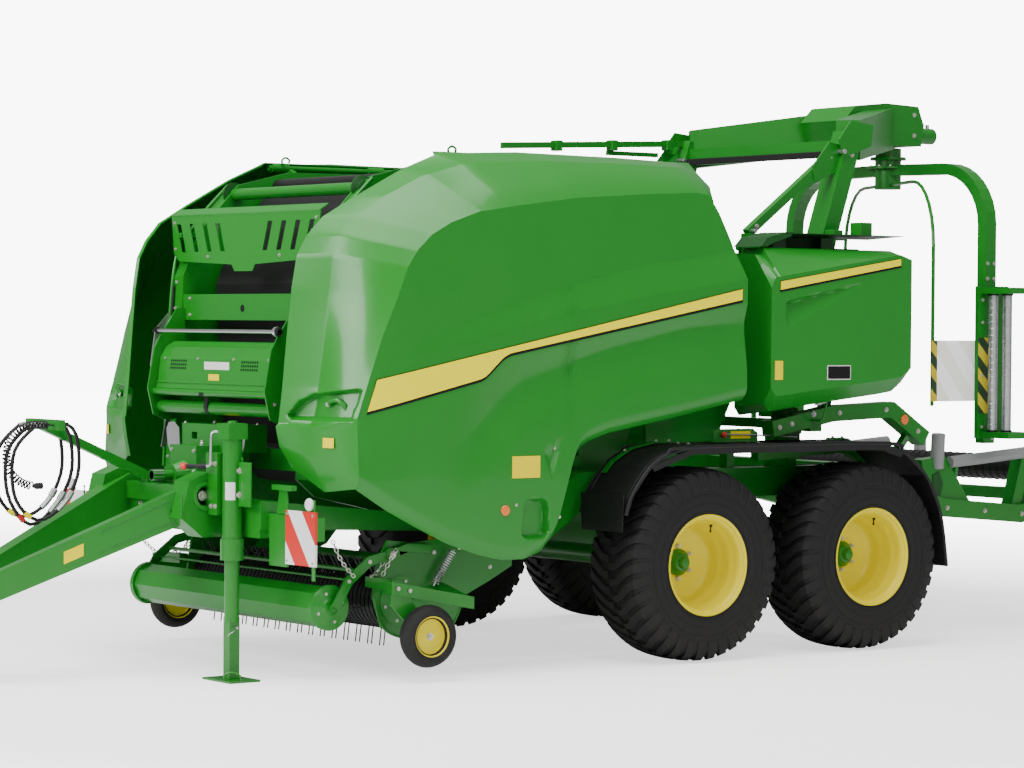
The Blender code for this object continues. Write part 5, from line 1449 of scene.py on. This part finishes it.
pair("box_latch", "steel",
    [latch, rod((1.3, 1.0, 1.53), (1.3, 1.125, 1.5615), 0.005, 10),
    bolt((1.2005, 1.08, 1.47), (1, 0, 0), 0.014)])
hold = [band([(1.08, 1.44), (1.1, 1.5), (1.12, 1.56)], 0.012, YZ, 1.285, 1.292),
    box(1.195, 1.292, 1.06, 1.1, 1.425, 1.437)]
pair("box_latch_arm", "green", hold, bevel=0.001)
rollers = [rod((1.08, 2.77, 1.332), (1.08, 2.77, 2.238), 0.0315, 32),
    rod((1.16, 2.82, 1.332), (1.16, 2.82, 2.238), 0.0315, 32)]
caps = [rod((x, y, z), (x, y, z + 0.012), 0.038, 24) for x, y in ((1.08, 2.77), (1.16, 2.82))
    for z in (1.3302, 2.2278)]
grooves = [tube([(1.08 + p, 2.77 + q, 1.38 + 0.045 * i) for p, q in ring_of(20, 0.032)], 0.0018, 5,
    closed=True) for i in range(19)]
film = rollers + grooves + [bolt((1.1, 2.75, 1.2895), (0, 0, -1), 0.01)]
rotor_pair("film_rollers", "roller", film)
rotor_pair("film_caps", "black", caps, bevel=0.002)
strips = [box(1.0232, 1.0248, 2.692, 2.8, 1.45, 1.95), box(0.935, 0.9446, 2.345, 2.395, 1.53, 1.93)]
rotor_pair("warning_strips", "warn", strips)
leg = [bolt((0.955 + 0.0378, ROTOR_Y + dy, z), (1, 0, 0), 0.01) for dy in (-0.03, 0.03)
    for z in (2.34, 2.44)]
leg += [bolt((1.023, ROTOR_Y + dy, z), (1, 0, 0), 0.009) for dy in (-0.1, 0.1)
    for z in (1.36, 1.7, 2.05, 2.2)]
rotor_pair("rotor_bolts", "zinc", leg)
cones = [rod((0.78, 2.56, 1.0802), (0.805, 2.55, 1.3115), 0.0462, 28, 0.0458),
    rod((0.7, 3.84, 0.9202), (0.72, 3.85, 1.2315), 0.0462, 28, 0.0458),
    rod((0.8, 2.6585, 1.12), (0.8, 3.6015, 1.19), 0.0392, 24)]
pair("table_cones", "grey", cones, "table", bevel=0.004)
spots = [bolt((0.8402, y, z), (1, 0, 0), 0.012)
    for y, z in ((2.3, 0.89), (2.6, 0.82), (2.95, 0.79), (3.3, 0.76), (3.6, 0.81), (3.78, 0.88))]
pair("table_bolts", "zinc", spots, "table")
webs = [slab([(2.5, 0.885), (2.56, 0.865), (2.6, 0.98), (2.56, 1.06), (2.5, 1.04)], YZ, 0.8003, 0.806),
    slab([(3.34, 0.83), (3.54, 0.84), (3.5, 0.98), (3.4, 1.02)], YZ, 0.8003, 0.806)]
pair("table_webs", "green_painted_shade", webs, "table", bevel=0.002)
shield = slab([(0.6, 2.505), (0.66, 2.565), (0.82, 2.6), (0.86, 2.6), (0.86, 2.575), (0.72, 2.535),
    (0.66, 2.508)], YZ, 0.98, 1.235)
pair("deck_shield", "green_painted_shade", [shield], bevel=0.002)
block = [box(1.0, 1.1, 1.56, 1.66, 2.595, 2.68), box(0.94, 1.02, 1.4, 1.48, 2.59, 2.63)]
pair("deck_block", "green", block, bevel=0.004)
duct = [box(-0.7, 0.7, 1.612, 1.656, 3.108, 3.15)]
piece("gantry_duct", "plastic", duct, bevel=0.006)
piece("gantry_motor", "steel",
    [lathe([(0, 0), (0.05, 0), (0.05, 0.05), (0.042, 0.06), (0.042, 0.12), (0.03, 0.13), (0, 0.132),
    (0, 0)], (0.1, 3.02, 3.33), 32, "Y"), rod((0.1, 3.05, 3.38), (0.1, 3.05, 3.42), 0.014, 16),
    rod((0.1, 3.1, 3.37), (0.1, 3.1, 3.41), 0.014, 16)])
piece("gantry_head_bolts", "zinc",
    [bolts_at([(0.2203, y, z)
    for y, z in ((2.3, 3.3), (2.3, 3.42), (2.6, 3.3), (2.6, 3.46), (2.86, 3.32), (2.86, 3.46))],
    (1, 0, 0), 0.012), bolts_at([(-0.2203, y, z) for y, z in ((2.3, 3.3), (2.6, 3.46), (2.86, 3.32))],
    (-1, 0, 0), 0.012)])
piece("rail_brackets", "green",
    [box(-0.835, -0.765, y, y + 0.05, z, z + 0.07)
    for y, z in ((0.55, 3.17), (1.02, 3.19), (1.5, 3.21))]
    + [box(-0.84, -0.815, 1.02, 1.46, 3.16, 3.19)], bevel=0.003)
hub = [lathe([(0.0905, 0), (0.15, 0), (0.15, 0.014), (0.0905, 0.014), (0.0905, 0)], (0, ROTOR_Y, 3.1),
    48, "Z"), lathe([(0.0905, 0), (0.125, 0), (0.12, 0.02), (0.0905, 0.022), (0.0905, 0)],
    (0, ROTOR_Y, 3.16), 48, "Z")]
piece("rotor_hub_rings", "green_body", hub, "rotor")
piece("rotor_hub_bolts", "zinc",
    [bolts_at([(p, ROTOR_Y + q, 3.114) for p, q in ring_of(10, 0.128)], (0, 0, 1), 0.009)], "rotor")

# Table rollers with grooved rubber, and the rear gate's ribs
for name, y in (("front", 2.62), ("rear", 3.45)):
    rings = [tube([(-0.66 + 0.066 * i, y + p, 1.06 + q) for p, q in ring_of(32, 0.0862)], 0.0028, 6,
        closed=True) for i in range(21)]
    piece(f"table_grooves_{name}", "rubber", rings, f"table_roller_{name[0]}")
GATE = [(0.62, 2.72), (0.84, 2.35), (0.9, 1.95), (0.86, 1.6), (0.7, 1.28)]
ribs = []
for x in (-0.56, -0.19, 0.19, 0.56):
    ribs.append(band([(y + 0.006, z) for y, z in GATE], 0.016, YZ, x - 0.022, x + 0.022))
for y, z in ((0.735, 2.53), (0.875, 2.15), (0.882, 1.78), (0.785, 1.44)):
    ribs.append(box(-0.69, 0.69, y - 0.004, y + 0.014, z - 0.02, z + 0.02))
piece("gate_ribs", "green_body", ribs, "rear_gate", bevel=0.004)
